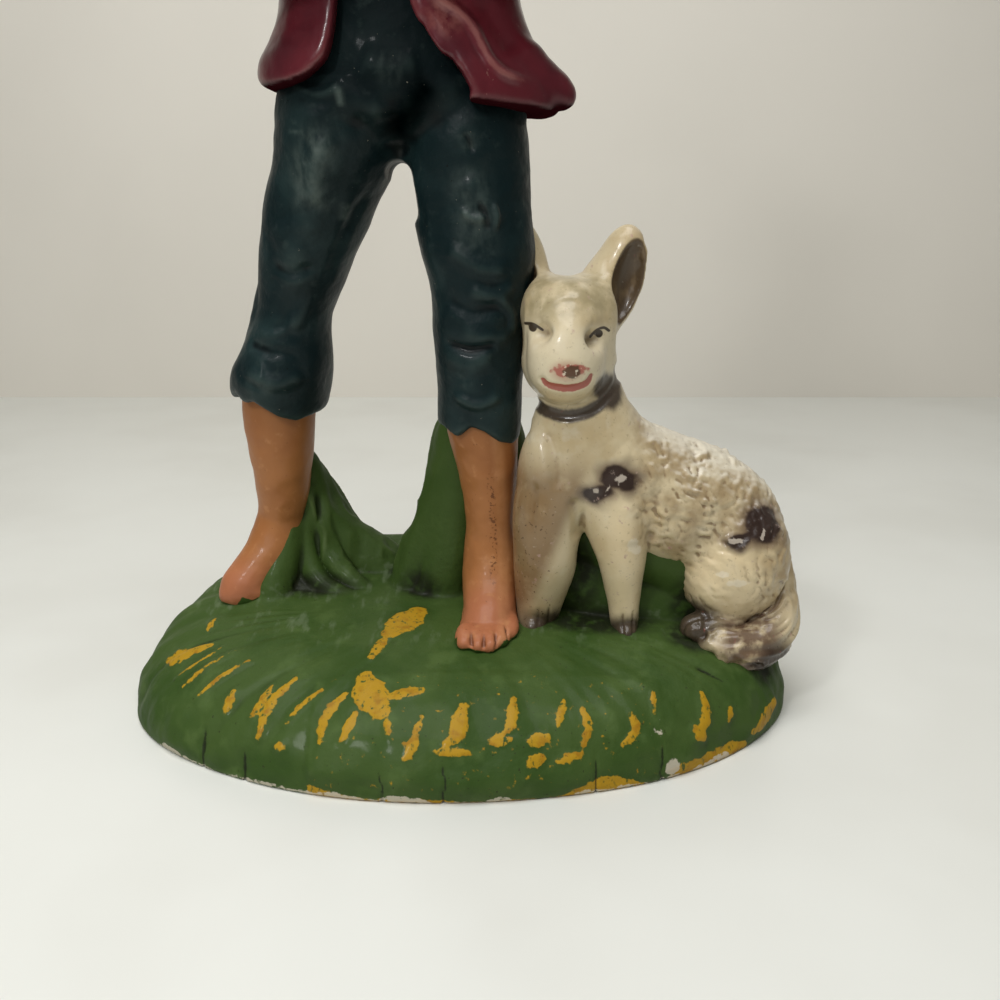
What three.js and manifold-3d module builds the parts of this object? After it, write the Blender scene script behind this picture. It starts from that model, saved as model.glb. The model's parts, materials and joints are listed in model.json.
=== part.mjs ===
// Painted papier-mache shepherd with a sitting dog, on a grassy mound.
// Millimetres, +Z up; the origin is the centre of the base's underside and the figure faces -Y.
// Right and left are the figure's own (and the dog's own) sides.
import * as THREE from "three";
import { mergeVertices } from "three/addons/utils/BufferGeometryUtils.js";
import Module from "manifold-3d";

const wasm = await Module();
wasm.setup();

// Glue lines, wires and bedding
const GLUE_GAP = 0.3;
const BEDDING = 1.6;
const LEG_WIRE = 2.4;
const ARM_WIRE = 1.8;
const DOG_WIRE = 1.8;
const NECK_DOWEL = 5;
const RUMP_PEG = 5;

// Base mound
const BASE_WIDTH = 163;
const BASE_DEPTH = 98;
const CROWN_HEIGHT = 24;
const BACK_RISE = 3.5;
const HUMP_RISE = 6;
const HUMP_TURN = 120;
const HUMP_SQUARENESS = 9;
const RIGHT_SPREAD = 0.03;
const BASE_WALL = 6;
const CARD_THICKNESS = 1.6;
const CARD_MARGIN = 5;
const CLUMP_WIDTH = 33;
const CLUMP_DEPTH = 20;

// Heights of the figure above the crown of the mound
const HEM_HEIGHT = 45;
const KNEE_HEIGHT = 76;
const CROTCH_HEIGHT = 106;
const JACKET_HEM_HEIGHT = 116.5;
const WAIST_HEIGHT = 134;
const BELT_HEIGHT = 142;
const ELBOW_HEIGHT = 146;
const SHOULDER_HEIGHT = 176;
const NECK_RISE = 13;
const CHIN_HEIGHT = SHOULDER_HEIGHT + NECK_RISE;
const SEAT_RISE = 6;

// Stance: the dog sits in from the base's left end, the figure beside it, joints in plan from the middle
const DOG_INSET = 35.5;
const DOG_STANDOFF = 58.5;
const DOG_X = BASE_WIDTH / 2 - DOG_INSET;
const DOG_Y = 0;
const MID_X = DOG_X - DOG_STANDOFF;
const MID_Y = 6;
const plan = (x, y) => ({ x: MID_X + x, y: MID_Y + y });
const LEFT_ANKLE = plan(19.3, -2.5);
const LEFT_KNEE = plan(17, -3.5);
const LEFT_HIP = plan(14.3, -0.5);
const LEFT_FOOT_TURN = 2;
const RIGHT_ANKLE = plan(-35.9, 11.5);
const RIGHT_KNEE = plan(-27.7, 6);
const RIGHT_HIP = plan(-17, 1.5);
const RIGHT_FOOT_TURN = 42;

// Legs and trousers
const LEFT_FOOT_LENGTH = 31;
const RIGHT_FOOT_LENGTH = 25.5;
const FOOT_WIDTH = 13.2;
const TOE_DIAMETER = 2.9;
const ANKLE_WIDTH = 10.6;
const CALF_WIDTH = 15.2;
const LEFT_CUFF_WIDTH = 20.2;
const LEFT_KNEE_WIDTH = 21.8;
const RIGHT_CUFF_WIDTH = 25.2;
const RIGHT_KNEE_WIDTH = 19.2;
const THIGH_WIDTH = 26.5;
const HEM_SCALLOP = 1.8;
const FOLD_DEPTH = 0.7;

// Body, jacket and arms
const HIP_WIDTH = 58.5;
const HIP_DEPTH = 34;
const WAIST_WIDTH = 43;
const WAIST_DEPTH = 29;
const CHEST_WIDTH = 44;
const CHEST_DEPTH = 30;
const SHOULDER_WIDTH = 46;
const NECK_WIDTH = 14;
const JACKET_THICKNESS = 4;
const JACKET_FLARE = 2;
const TAIL_FLARE = 4;
const SHOULDER_REACH = 25;
const ELBOW_REACH = 33.5;
const SLEEVE_WIDTH = 14.8;
const CUFF_WIDTH = 11;
const HAND_LENGTH = 19;
const HAND_THICKNESS = 5;

// Head
const HEAD_HEIGHT = 33;
const HEAD_WIDTH = 24;
const HEAD_DEPTH = 28;
const HAIR_THICKNESS = 2.4;

// Dog
const DOG_HEIGHT = 92.5;
const DOG_HEAD_WIDTH = 21;
const DOG_HEAD_HEIGHT = 30;
const DOG_BODY_WIDTH = 25;
const DOG_BODY_DEPTH = 33;
const DOG_LEG_WIDTH = 9;
const DOG_HAUNCH_LENGTH = 26;
const DOG_HAUNCH_HEIGHT = 30;
const DOG_EAR_LENGTH = 20;
const DOG_EAR_WIDTH = 12.5;
const DOG_TAIL_WIDTH = 11;

const X_AXIS = new THREE.Vector3(1, 0, 0);
const Y_AXIS = new THREE.Vector3(0, 1, 0);
const FAR = 400;

const { lerp, degToRad, clamp } = THREE.MathUtils;
const at = (x, y, z) => new THREE.Vector3(x, y, z);
const above = (height) => CROWN_HEIGHT + height;
const between = (a, b, share) => ({ x: lerp(a.x, b.x, share), y: lerp(a.y, b.y, share) });

// Solids from closed geometry
function solidOf(geometry) {
  geometry.deleteAttribute("normal");
  geometry.deleteAttribute("uv");
  const welded = mergeVertices(geometry);
  return new wasm.Manifold(new wasm.Mesh({
    numProp: 3,
    vertProperties: Float32Array.from(welded.getAttribute("position").array),
    triVerts: Uint32Array.from(welded.index.array),
  }));
}

const join = (...solids) => solids.reduce((whole, solid) => whole.add(solid));
const cut = (body, ...tools) => tools.reduce((rest, tool) => rest.subtract(tool), body);

// Closed skin over rings of points, each ring anticlockwise about the way ahead
function skin(rings) {
  const sides = rings[0].length;
  const last = rings.length - 1;
  const points = rings.flat();
  const centreOf = (ring) => ring.reduce((sum, p) => sum.add(p), at(0, 0, 0)).divideScalar(sides);
  points.push(centreOf(rings[0]), centreOf(rings[last]));
  const faces = [];
  for (let k = 0; k < sides; k += 1) {
    const next = (k + 1) % sides;
    for (let i = 0; i < last; i += 1) {
      const a = i * sides;
      const b = a + sides;
      faces.push(a + k, a + next, b + next, a + k, b + next, b + k);
    }
    faces.push(points.length - 2, next, k);
    faces.push(points.length - 1, last * sides + k, last * sides + next);
  }
  const geometry = new THREE.BufferGeometry().setFromPoints(points);
  geometry.setIndex(faces);
  return solidOf(geometry);
}

// Loft of elliptical stations along a smooth spine. The grown form is larger all round by grow;
// ripple(share, angle) moves the skin out and hem(angle) moves the first ring along the spine.
// With carry, each ring's sideways direction follows from the ring before, for winding spines.
function loft(stations, options = {}) {
  const { sides = 12, steps = 2, sideways = X_AXIS, carry = false, grow = 0 } = options;
  const { ripple = () => 0, hem = () => 0 } = options;
  const spine = new THREE.CatmullRomCurve3(stations.map((s) => s.centre));
  const sizes = new THREE.CatmullRomCurve3(stations.map((s) => at(s.width / 2, s.depth / 2, 0)));
  const count = (stations.length - 1) * steps;
  const rings = [];
  let reference = sideways;
  for (let i = 0; i <= count; i += 1) {
    const share = i / count;
    const ahead = spine.getTangent(share);
    const across = reference.clone().addScaledVector(ahead, -reference.dot(ahead)).normalize();
    reference = carry ? across : sideways;
    const third = new THREE.Vector3().crossVectors(ahead, across);
    const centre = spine.getPoint(share);
    const size = sizes.getPoint(share);
    const end = (i === 0 ? -grow : 0) + (i === count ? grow : 0);
    const ring = [];
    for (let k = 0; k < sides; k += 1) {
      const angle = (2 * Math.PI * k) / sides;
      const out = grow + ripple(share, angle);
      const point = centre.clone().addScaledVector(ahead, end + (i === 0 ? hem(angle) : 0));
      point.addScaledVector(across, (size.x + out) * Math.cos(angle));
      point.addScaledVector(third, (size.y + out) * Math.sin(angle));
      ring.push(point);
    }
    rings.push(ring);
  }
  return skin(rings);
}

function ellipsoid(centre, size, grow = 0, turn = 0, sides = 8) {
  const geometry = new THREE.SphereGeometry(1, sides, Math.ceil(sides * 0.6));
  geometry.rotateX(Math.PI / 2);
  geometry.scale(size.x / 2 + grow, size.y / 2 + grow, size.z / 2 + grow);
  geometry.rotateZ(degToRad(turn));
  geometry.translate(centre.x, centre.y, centre.z);
  return solidOf(geometry);
}

// Round wire or peg along a smooth path; sideways is any direction but the one it starts in
function rod(points, diameter, sideways, grow = 0, steps = 2) {
  const stations = points.map((centre) => ({ centre, width: diameter, depth: diameter }));
  return loft(stations, { sides: 6, steps, sideways, carry: true, grow });
}

function block(min, max) {
  const size = at(0, 0, 0).subVectors(max, min);
  const geometry = new THREE.BoxGeometry(size.x, size.y, size.z);
  const middle = at(0, 0, 0).addVectors(min, max).divideScalar(2);
  geometry.translate(middle.x, middle.y, middle.z);
  return solidOf(geometry);
}

// Everything in front of an upright seam plane through (x, y), turned about the vertical
function frontOf(x, y, turn, gap) {
  const geometry = new THREE.BoxGeometry(2 * FAR, FAR, 2 * FAR);
  geometry.translate(0, -FAR / 2 - gap / 2, 0);
  geometry.rotateZ(degToRad(turn));
  geometry.translate(x, y, 0);
  return solidOf(geometry);
}

function halves(whole, x, y, turn) {
  const front = whole.intersect(frontOf(x, y, turn, GLUE_GAP));
  const back = whole.subtract(frontOf(x, y, turn, -GLUE_GAP));
  return { front, back };
}

// Mound: a squarish dome on an uneven oval, higher at the back, with a hump behind the figure's right foot
function outline(angle) {
  const wavy = 0.008 * Math.sin(3 * angle + 0.6) + 0.004 * Math.sin(7 * angle + 2);
  const uneven = 1 - 0.012 + wavy + RIGHT_SPREAD * (0.5 - 0.5 * Math.cos(angle));
  return { x: (BASE_WIDTH / 2) * uneven * Math.cos(angle), y: (BASE_DEPTH / 2) * uneven * Math.sin(angle) };
}

function domeHeight(share, angle) {
  const hump = Math.pow(Math.max(0, Math.cos(angle - degToRad(HUMP_TURN))), 4);
  const squareness = 6.5 + 2.5 * Math.sin(angle) + HUMP_SQUARENESS * hump;
  const crown = CROWN_HEIGHT + BACK_RISE * share * Math.sin(angle) + HUMP_RISE * share * share * hump;
  return crown * Math.pow(1 - Math.pow(share, squareness), 0.45);
}

function groundHeight(x, y) {
  const angle = Math.atan2(y / BASE_DEPTH, x / BASE_WIDTH);
  const edge = outline(angle);
  return domeHeight(Math.min(1, Math.hypot(x, y) / Math.hypot(edge.x, edge.y)), angle);
}

const DOME_SIDES = 36;
const SKIN_SHARES = [0.98, 0.93, 0.85, 0.72, 0.5];
const HOLLOW_SHARES = [0.96, 0.84, 0.6];

// Dome skin drawn in by inset all round, open downwards at the floor
function dome(inset, sides, shares) {
  const rings = [];
  const floor = inset > 0 ? -1 : 0;
  for (const share of [1, ...shares]) {
    const ring = [];
    for (let k = 0; k < sides; k += 1) {
      const angle = (2 * Math.PI * k) / sides;
      const edge = outline(angle);
      const drawnIn = 1 - inset / Math.hypot(edge.x, edge.y);
      const height = share === 1 ? floor : Math.max(0, domeHeight(share, angle) - inset);
      ring.push(at(edge.x * share * drawnIn, edge.y * share * drawnIn, height));
    }
    rings.push(ring);
  }
  return skin(rings);
}

function oval(inset, bottom, top, sides) {
  const ringAt = (z) => Array.from({ length: sides }, (_, k) => {
    const edge = outline((2 * Math.PI * k) / sides);
    const drawnIn = 1 - inset / Math.hypot(edge.x, edge.y);
    return at(edge.x * drawnIn, edge.y * drawnIn, z);
  });
  return skin([ringAt(bottom), ringAt(top)]);
}

// Foot frame: its forward and sideways directions and the level of its sole
function footFrame(ankle, turn) {
  const forward = at(-Math.sin(degToRad(turn)), -Math.cos(degToRad(turn)), 0);
  const across = at(forward.y, -forward.x, 0);
  return { forward, across, sole: groundHeight(ankle.x, ankle.y) - BEDDING };
}

// Bare leg: shin, foot and five toes
function leg(ankle, knee, turn, length, inner, grow = 0) {
  const { forward, across, sole } = footFrame(ankle, turn);
  const alongShin = (height, width, depth) => {
    const plan = between(ankle, knee, height / KNEE_HEIGHT);
    return { centre: at(plan.x, plan.y, above(height)), width, depth };
  };
  const shin = loft([
    alongShin(HEM_HEIGHT * 0.09, ANKLE_WIDTH * 0.92, ANKLE_WIDTH),
    alongShin(HEM_HEIGHT * 0.2, ANKLE_WIDTH, ANKLE_WIDTH * 1.05),
    alongShin(HEM_HEIGHT * 0.42, ANKLE_WIDTH * 1.12, ANKLE_WIDTH * 1.2),
    alongShin(HEM_HEIGHT * 0.72, CALF_WIDTH * 0.94, CALF_WIDTH * 1.05),
    alongShin(HEM_HEIGHT * 1.0, CALF_WIDTH * 1.06, CALF_WIDTH * 1.08),
    alongShin(HEM_HEIGHT * 1.3, CALF_WIDTH * 0.92, CALF_WIDTH * 0.92),
  ], { sides: 10, steps: 1, grow });
  const alongFoot = (share, lift, width, height) => {
    const plan = at(ankle.x, ankle.y, sole + lift).addScaledVector(forward, share * length);
    return { centre: plan, width, depth: height };
  };
  const foot = loft([
    alongFoot(-0.25, 3.4, FOOT_WIDTH * 0.38, 4.5),
    alongFoot(-0.18, 4.4, FOOT_WIDTH * 0.7, 8.6),
    alongFoot(0.05, 5.6, FOOT_WIDTH * 0.78, 11.2),
    alongFoot(0.3, 4.6, FOOT_WIDTH * 0.88, 9.2),
    alongFoot(0.55, 3.4, FOOT_WIDTH, 6.8),
    alongFoot(0.68, 2.7, FOOT_WIDTH * 0.94, 5.2),
  ], { sides: 10, steps: 1, sideways: across, grow });
  const toes = [0, 1, 2, 3, 4].map((k) => {
    const reach = 0.7 - 0.026 * k;
    const aside = inner * (0.39 - 0.195 * k) * FOOT_WIDTH;
    const girth = TOE_DIAMETER * (k === 0 ? 1.25 : 1 - 0.04 * k);
    const centre = at(ankle.x, ankle.y, sole + girth / 2 + 0.7);
    centre.addScaledVector(forward, reach * length).addScaledVector(across, aside);
    return ellipsoid(centre, at(girth, girth * 1.9, girth * 1.15), grow, -turn, 5);
  });
  return join(shin, foot, ...toes);
}

const leftLeg = (grow) => leg(LEFT_ANKLE, LEFT_KNEE, LEFT_FOOT_TURN, LEFT_FOOT_LENGTH, 1, grow);
const rightLeg = (grow) => leg(RIGHT_ANKLE, RIGHT_KNEE, RIGHT_FOOT_TURN, RIGHT_FOOT_LENGTH, -1, grow);

// Armature wire: turned over inside the mound, up through the leg into the seat of the trousers
function legWire(ankle, knee, hip, grow = 0) {
  const roof = groundHeight(ankle.x, ankle.y) - BASE_WALL - LEG_WIRE;
  return rod([
    at(ankle.x + 9, ankle.y, roof),
    at(ankle.x + 2.5, ankle.y, roof - 0.6),
    at(ankle.x, ankle.y, roof + 3),
    at(ankle.x, ankle.y, above(HEM_HEIGHT * 0.2)),
    at(lerp(ankle.x, knee.x, 0.6), lerp(ankle.y, knee.y, 0.6), above(HEM_HEIGHT)),
    at(knee.x, knee.y, above(KNEE_HEIGHT)),
    at(hip.x, hip.y, above(CROTCH_HEIGHT)),
    at(lerp(hip.x, MID_X, 0.35), MID_Y, above(lerp(CROTCH_HEIGHT, WAIST_HEIGHT, 0.7))),
  ], LEG_WIRE, Y_AXIS, grow);
}

const leftLegWire = (grow) => legWire(LEFT_ANKLE, LEFT_KNEE, LEFT_HIP, grow);
const rightLegWire = (grow) => legWire(RIGHT_ANKLE, RIGHT_KNEE, RIGHT_HIP, grow);

// Trouser legs with scalloped hems and slanting folds
const scallop = (angle) => HEM_SCALLOP * (0.6 * Math.sin(3 * angle + 0.4) + 0.4 * Math.sin(5 * angle));

function leftTrouser(grow = 0) {
  const lower = (share) => lerp(HEM_HEIGHT, KNEE_HEIGHT, share);
  const upper = (share) => lerp(KNEE_HEIGHT, CROTCH_HEIGHT, share);
  const station = (plan, height, width) => (
    { centre: at(plan.x, plan.y, above(height)), width, depth: width * 1.04 });
  return loft([
    station(between(LEFT_KNEE, LEFT_ANKLE, 0.2), lower(-0.03), LEFT_CUFF_WIDTH),
    station(between(LEFT_KNEE, LEFT_ANKLE, 0.15), lower(0.25), LEFT_CUFF_WIDTH * 1.03),
    station(between(LEFT_KNEE, LEFT_ANKLE, 0.08), lower(0.52), LEFT_CUFF_WIDTH * 1.02),
    station(LEFT_KNEE, lower(0.78), LEFT_KNEE_WIDTH * 0.96),
    station(LEFT_KNEE, upper(0.04), LEFT_KNEE_WIDTH),
    station(between(LEFT_KNEE, LEFT_HIP, 0.35), upper(0.36), THIGH_WIDTH * 0.91),
    station(between(LEFT_KNEE, LEFT_HIP, 0.7), upper(0.7), THIGH_WIDTH * 0.96),
    station(LEFT_HIP, upper(1), THIGH_WIDTH),
    station(between(LEFT_HIP, { x: MID_X, y: MID_Y }, 0.2), upper(1.35), THIGH_WIDTH),
  ], {
    sides: 12,
    steps: 1,
    grow,
    hem: scallop,
    ripple: (share, angle) => FOLD_DEPTH * Math.sin(2 * angle + 16 * share) * Math.sin(Math.PI * share),
  });
}

function rightTrouser(grow = 0) {
  const lower = (share) => lerp(HEM_HEIGHT, KNEE_HEIGHT, share);
  const upper = (share) => lerp(KNEE_HEIGHT, CROTCH_HEIGHT, share);
  const station = (plan, height, width) => (
    { centre: at(plan.x, plan.y, above(height)), width, depth: width * 1.06 });
  return loft([
    station(between(RIGHT_ANKLE, RIGHT_KNEE, 0.3), lower(0.05), RIGHT_CUFF_WIDTH * 0.86),
    station(between(RIGHT_ANKLE, RIGHT_KNEE, 0.33), lower(0.22), RIGHT_CUFF_WIDTH * 0.98),
    station(between(RIGHT_ANKLE, RIGHT_KNEE, 0.42), lower(0.38), RIGHT_CUFF_WIDTH),
    station(between(RIGHT_ANKLE, RIGHT_KNEE, 0.6), lower(0.55), RIGHT_CUFF_WIDTH * 0.92),
    station(between(RIGHT_ANKLE, RIGHT_KNEE, 0.8), lower(0.78), RIGHT_KNEE_WIDTH * 1.03),
    station(RIGHT_KNEE, upper(0), RIGHT_KNEE_WIDTH),
    station(between(RIGHT_KNEE, RIGHT_HIP, 0.28), upper(0.34), THIGH_WIDTH * 0.85),
    station(between(RIGHT_KNEE, RIGHT_HIP, 0.6), upper(0.72), THIGH_WIDTH * 0.97),
    station(between(RIGHT_KNEE, RIGHT_HIP, 0.88), upper(1), THIGH_WIDTH * 1.02),
    station(between(RIGHT_HIP, { x: MID_X, y: MID_Y }, 0.15), upper(1.35), THIGH_WIDTH),
  ], {
    sides: 12,
    steps: 1,
    grow,
    hem: scallop,
    ripple: (share, angle) => FOLD_DEPTH * Math.sin(2 * angle - 18 * share) * Math.sin(Math.PI * share),
  });
}

// Body from the crotch to the neck, thickened by coat(share) for the jacket over it
function bodyForm(coat, sides, bottom, grow = 0) {
  const chest = lerp(WAIST_HEIGHT, SHOULDER_HEIGHT, 0.55);
  const chestY = MID_Y - 0.5;
  const toWaist = (share) => lerp(CROTCH_HEIGHT, WAIST_HEIGHT, share);
  const levels = [
    { height: CROTCH_HEIGHT + 1, width: HIP_WIDTH * 0.8, depth: HIP_DEPTH * 0.82, y: MID_Y + 1 },
    { height: CROTCH_HEIGHT + SEAT_RISE, width: HIP_WIDTH * 0.98, depth: HIP_DEPTH * 0.96, y: MID_Y + 1 },
    { height: toWaist(0.46), width: HIP_WIDTH, depth: HIP_DEPTH, y: MID_Y + 1 },
    { height: toWaist(0.75), width: WAIST_WIDTH * 1.17, depth: WAIST_DEPTH * 1.1, y: MID_Y },
    { height: WAIST_HEIGHT, width: WAIST_WIDTH, depth: WAIST_DEPTH, y: MID_Y },
    { height: chest, width: CHEST_WIDTH, depth: CHEST_DEPTH, y: chestY },
    { height: lerp(chest, SHOULDER_HEIGHT, 0.72), width: SHOULDER_WIDTH, depth: CHEST_DEPTH * 0.88, y: chestY },
    { height: SHOULDER_HEIGHT + 1, width: SHOULDER_WIDTH * 0.8, depth: CHEST_DEPTH * 0.72, y: chestY },
    { height: SHOULDER_HEIGHT + 6, width: NECK_WIDTH * 1.5, depth: NECK_WIDTH * 1.3, y: chestY },
    { height: SHOULDER_HEIGHT + 8, width: NECK_WIDTH * 1.25, depth: NECK_WIDTH * 1.2, y: chestY },
  ];
  const stations = levels.filter((level) => level.height >= bottom).map((level) => {
    const thicker = 2 * coat(level.height);
    return {
      centre: at(MID_X, level.y, above(level.height)),
      width: level.width + thicker,
      depth: level.depth + thicker,
    };
  });
  return loft(stations, { sides, steps: 1, grow });
}

const body = (grow = 0) => bodyForm(() => 0, 14, 0, grow);
const waistUp = (gap) => block(at(-FAR, -FAR, above(BELT_HEIGHT) + gap / 2), at(FAR, FAR, FAR));

function trousers(grow = 0) {
  return cut(join(body(grow), leftTrouser(grow), rightTrouser(grow)), waistUp(-GLUE_GAP + 2 * grow));
}

const torso = (grow = 0) => body(grow).intersect(waistUp(GLUE_GAP - 2 * grow));

// Jacket: the body form thickened, flaring to the hem, with a drawn-out tail on the left
function jacketForm(grow = 0) {
  const flare = (height) => clamp((WAIST_HEIGHT - height) / (WAIST_HEIGHT - JACKET_HEM_HEIGHT), 0, 1);
  const coat = (height) => JACKET_THICKNESS + JACKET_FLARE * flare(height);
  const whole = bodyForm(coat, 16, CROTCH_HEIGHT + SEAT_RISE, grow);
  const tailTip = at(MID_X + HIP_WIDTH / 2 + JACKET_THICKNESS, MID_Y - 4, above(JACKET_HEM_HEIGHT + 4));
  const tail = loft([
    { centre: at(MID_X + HIP_WIDTH * 0.38, MID_Y - 5, above(JACKET_HEM_HEIGHT + 13)), width: 10, depth: 14 },
    { centre: at(MID_X + HIP_WIDTH * 0.46, MID_Y - 5, above(JACKET_HEM_HEIGHT + 7)), width: 9, depth: 13 },
    { centre: tailTip.clone().add(at(TAIL_FLARE, 0, -2)), width: 3, depth: 7 },
  ], { sides: 8, steps: 1, sideways: Y_AXIS, grow });
  const hem = block(at(-FAR, -FAR, -FAR), at(FAR, FAR, above(JACKET_HEM_HEIGHT) - grow));
  return cut(join(whole, tail), hem);
}

// Front opening of the jacket: a narrow V to the waist that sweeps apart to rounded corners
function jacketOpening() {
  const edge = (height) => above(height);
  const opening = new THREE.Shape();
  opening.moveTo(MID_X - 22, edge(JACKET_HEM_HEIGHT - 20));
  opening.lineTo(MID_X - 30, edge(JACKET_HEM_HEIGHT + 2.2));
  opening.bezierCurveTo(
    MID_X - 20, edge(JACKET_HEM_HEIGHT + 4),
    MID_X - 13.4, edge(WAIST_HEIGHT - 6), MID_X - 12.2, edge(WAIST_HEIGHT + 4));
  opening.bezierCurveTo(
    MID_X - 10.5, edge(WAIST_HEIGHT + 22),
    MID_X - 7, edge(SHOULDER_HEIGHT - 14), MID_X - 4.5, edge(SHOULDER_HEIGHT + 12));
  opening.lineTo(MID_X + 4.5, edge(SHOULDER_HEIGHT + 12));
  opening.bezierCurveTo(
    MID_X + 6, edge(SHOULDER_HEIGHT - 14),
    MID_X + 4, edge(WAIST_HEIGHT + 16), MID_X + 3.6, edge(WAIST_HEIGHT + 4));
  opening.bezierCurveTo(
    MID_X + 8, edge(WAIST_HEIGHT - 9),
    MID_X + 13, edge(WAIST_HEIGHT - 8), MID_X + 17, edge(JACKET_HEM_HEIGHT - 1));
  opening.lineTo(MID_X + 10, edge(JACKET_HEM_HEIGHT - 20));
  const geometry = new THREE.ExtrudeGeometry(opening, { depth: FAR, bevelEnabled: false, curveSegments: 5 });
  geometry.rotateX(Math.PI / 2);
  geometry.translate(0, MID_Y - 2, 0);
  return solidOf(geometry);
}

// Arms: side is -1 for the right and 1 for the left
function armPoints(side) {
  return {
    root: at(MID_X + side * SHOULDER_REACH * 0.5, MID_Y, above(SHOULDER_HEIGHT - 8)),
    shoulder: at(MID_X + side * SHOULDER_REACH * 0.92, MID_Y, above(SHOULDER_HEIGHT - 9.5)),
    upper: at(MID_X + side * lerp(SHOULDER_REACH, ELBOW_REACH, 0.62), MID_Y - 3,
      above(lerp(SHOULDER_HEIGHT, ELBOW_HEIGHT, 0.64))),
    elbow: at(MID_X + side * ELBOW_REACH, MID_Y - 10, above(ELBOW_HEIGHT)),
    forearm: at(MID_X + side * ELBOW_REACH * 0.64, MID_Y - 20, above(ELBOW_HEIGHT + 3)),
    wrist: at(MID_X + side * ELBOW_REACH * 0.27, MID_Y - 27, above(ELBOW_HEIGHT + 9)),
    palm: at(MID_X + side * (HAND_THICKNESS / 2 + GLUE_GAP), MID_Y - 30, above(ELBOW_HEIGHT + 16)),
  };
}

function sleeve(side, grow = 0) {
  const arm = armPoints(side);
  const round = (centre, width) => ({ centre, width, depth: width });
  return loft([
    round(arm.root, SLEEVE_WIDTH * 0.96),
    round(arm.shoulder, SLEEVE_WIDTH * 1.06),
    round(arm.upper, SLEEVE_WIDTH),
    round(arm.elbow, SLEEVE_WIDTH * 0.96),
    round(arm.elbow.clone().lerp(arm.forearm, 0.4).add(at(side * 1.6, 0, -0.6)), SLEEVE_WIDTH * 0.92),
    round(arm.forearm, SLEEVE_WIDTH * 0.86),
    round(arm.wrist, CUFF_WIDTH),
  ], { sides: 10, steps: 1, sideways: Y_AXIS, carry: true, grow });
}

function armWire(side, grow = 0) {
  const arm = armPoints(side);
  const tip = arm.palm.clone().lerp(arm.wrist, 0.35);
  const path = [arm.root, arm.shoulder, arm.upper, arm.elbow, arm.forearm, arm.wrist, tip];
  return rod(path, ARM_WIRE, Y_AXIS, grow);
}

// Flat hand held against the other: wrist, palm, four fingers and a thumb
function hand(side, grow = 0) {
  const arm = armPoints(side);
  const rise = at(0, -0.34, 1).normalize();
  const breadth = at(0, -1, -0.34).normalize();
  const along = (share, aside) => arm.palm.clone()
    .addScaledVector(rise, share * HAND_LENGTH)
    .addScaledVector(breadth, aside);
  const wristEnd = arm.wrist.clone().lerp(arm.forearm, 0.3);
  const palm = loft([
    { centre: wristEnd, width: CUFF_WIDTH * 0.55, depth: CUFF_WIDTH * 0.55 },
    { centre: arm.wrist.clone().lerp(arm.palm, 0.35), width: CUFF_WIDTH * 0.62, depth: CUFF_WIDTH * 0.56 },
    { centre: along(0.05, 0), width: 9.4, depth: HAND_THICKNESS },
    { centre: along(0.36, 0), width: 10, depth: HAND_THICKNESS * 0.92 },
  ], { sides: 8, steps: 1, sideways: breadth, grow });
  const finger = (aside, from, to, width) => loft([
    { centre: along(from, aside), width, depth: HAND_THICKNESS * 0.8 },
    { centre: along(lerp(from, to, 0.7), aside), width: width * 0.94, depth: HAND_THICKNESS * 0.74 },
    { centre: along(to, aside), width: width * 0.4, depth: HAND_THICKNESS * 0.34 },
  ], { sides: 5, steps: 1, sideways: breadth, grow });
  const tips = [0.86, 0.98, 0.94, 0.8];
  const fingers = tips.map((tip, k) => finger((1.5 - k) * 2.6, 0.3, tip, 2.4));
  const thumb = finger(-5.2, 0.12, 0.52, 2.8);
  return join(palm, ...fingers, thumb);
}

// Head: an egg-shaped loft with a nose, eyes, mouth, ears and a neck let into the torso
const HEAD_Y = MID_Y - 3;
const headZ = (share) => above(CHIN_HEIGHT + share * HEAD_HEIGHT);

function headEgg(grow = 0) {
  const level = (share, width, depth, forward) => ({
    centre: at(MID_X, HEAD_Y - forward * HEAD_DEPTH, headZ(share)),
    width: width * HEAD_WIDTH,
    depth: depth * HEAD_DEPTH,
  });
  return loft([
    level(0, 0.3, 0.3, 0.26),
    level(0.07, 0.52, 0.52, 0.2),
    level(0.2, 0.76, 0.78, 0.09),
    level(0.38, 0.92, 0.92, 0.02),
    level(0.58, 1, 1, 0),
    level(0.76, 0.94, 0.94, 0),
    level(0.9, 0.7, 0.7, 0),
    level(0.97, 0.42, 0.42, 0),
    level(1, 0.14, 0.14, 0),
  ], { sides: 14, steps: 1, grow });
}

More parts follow.
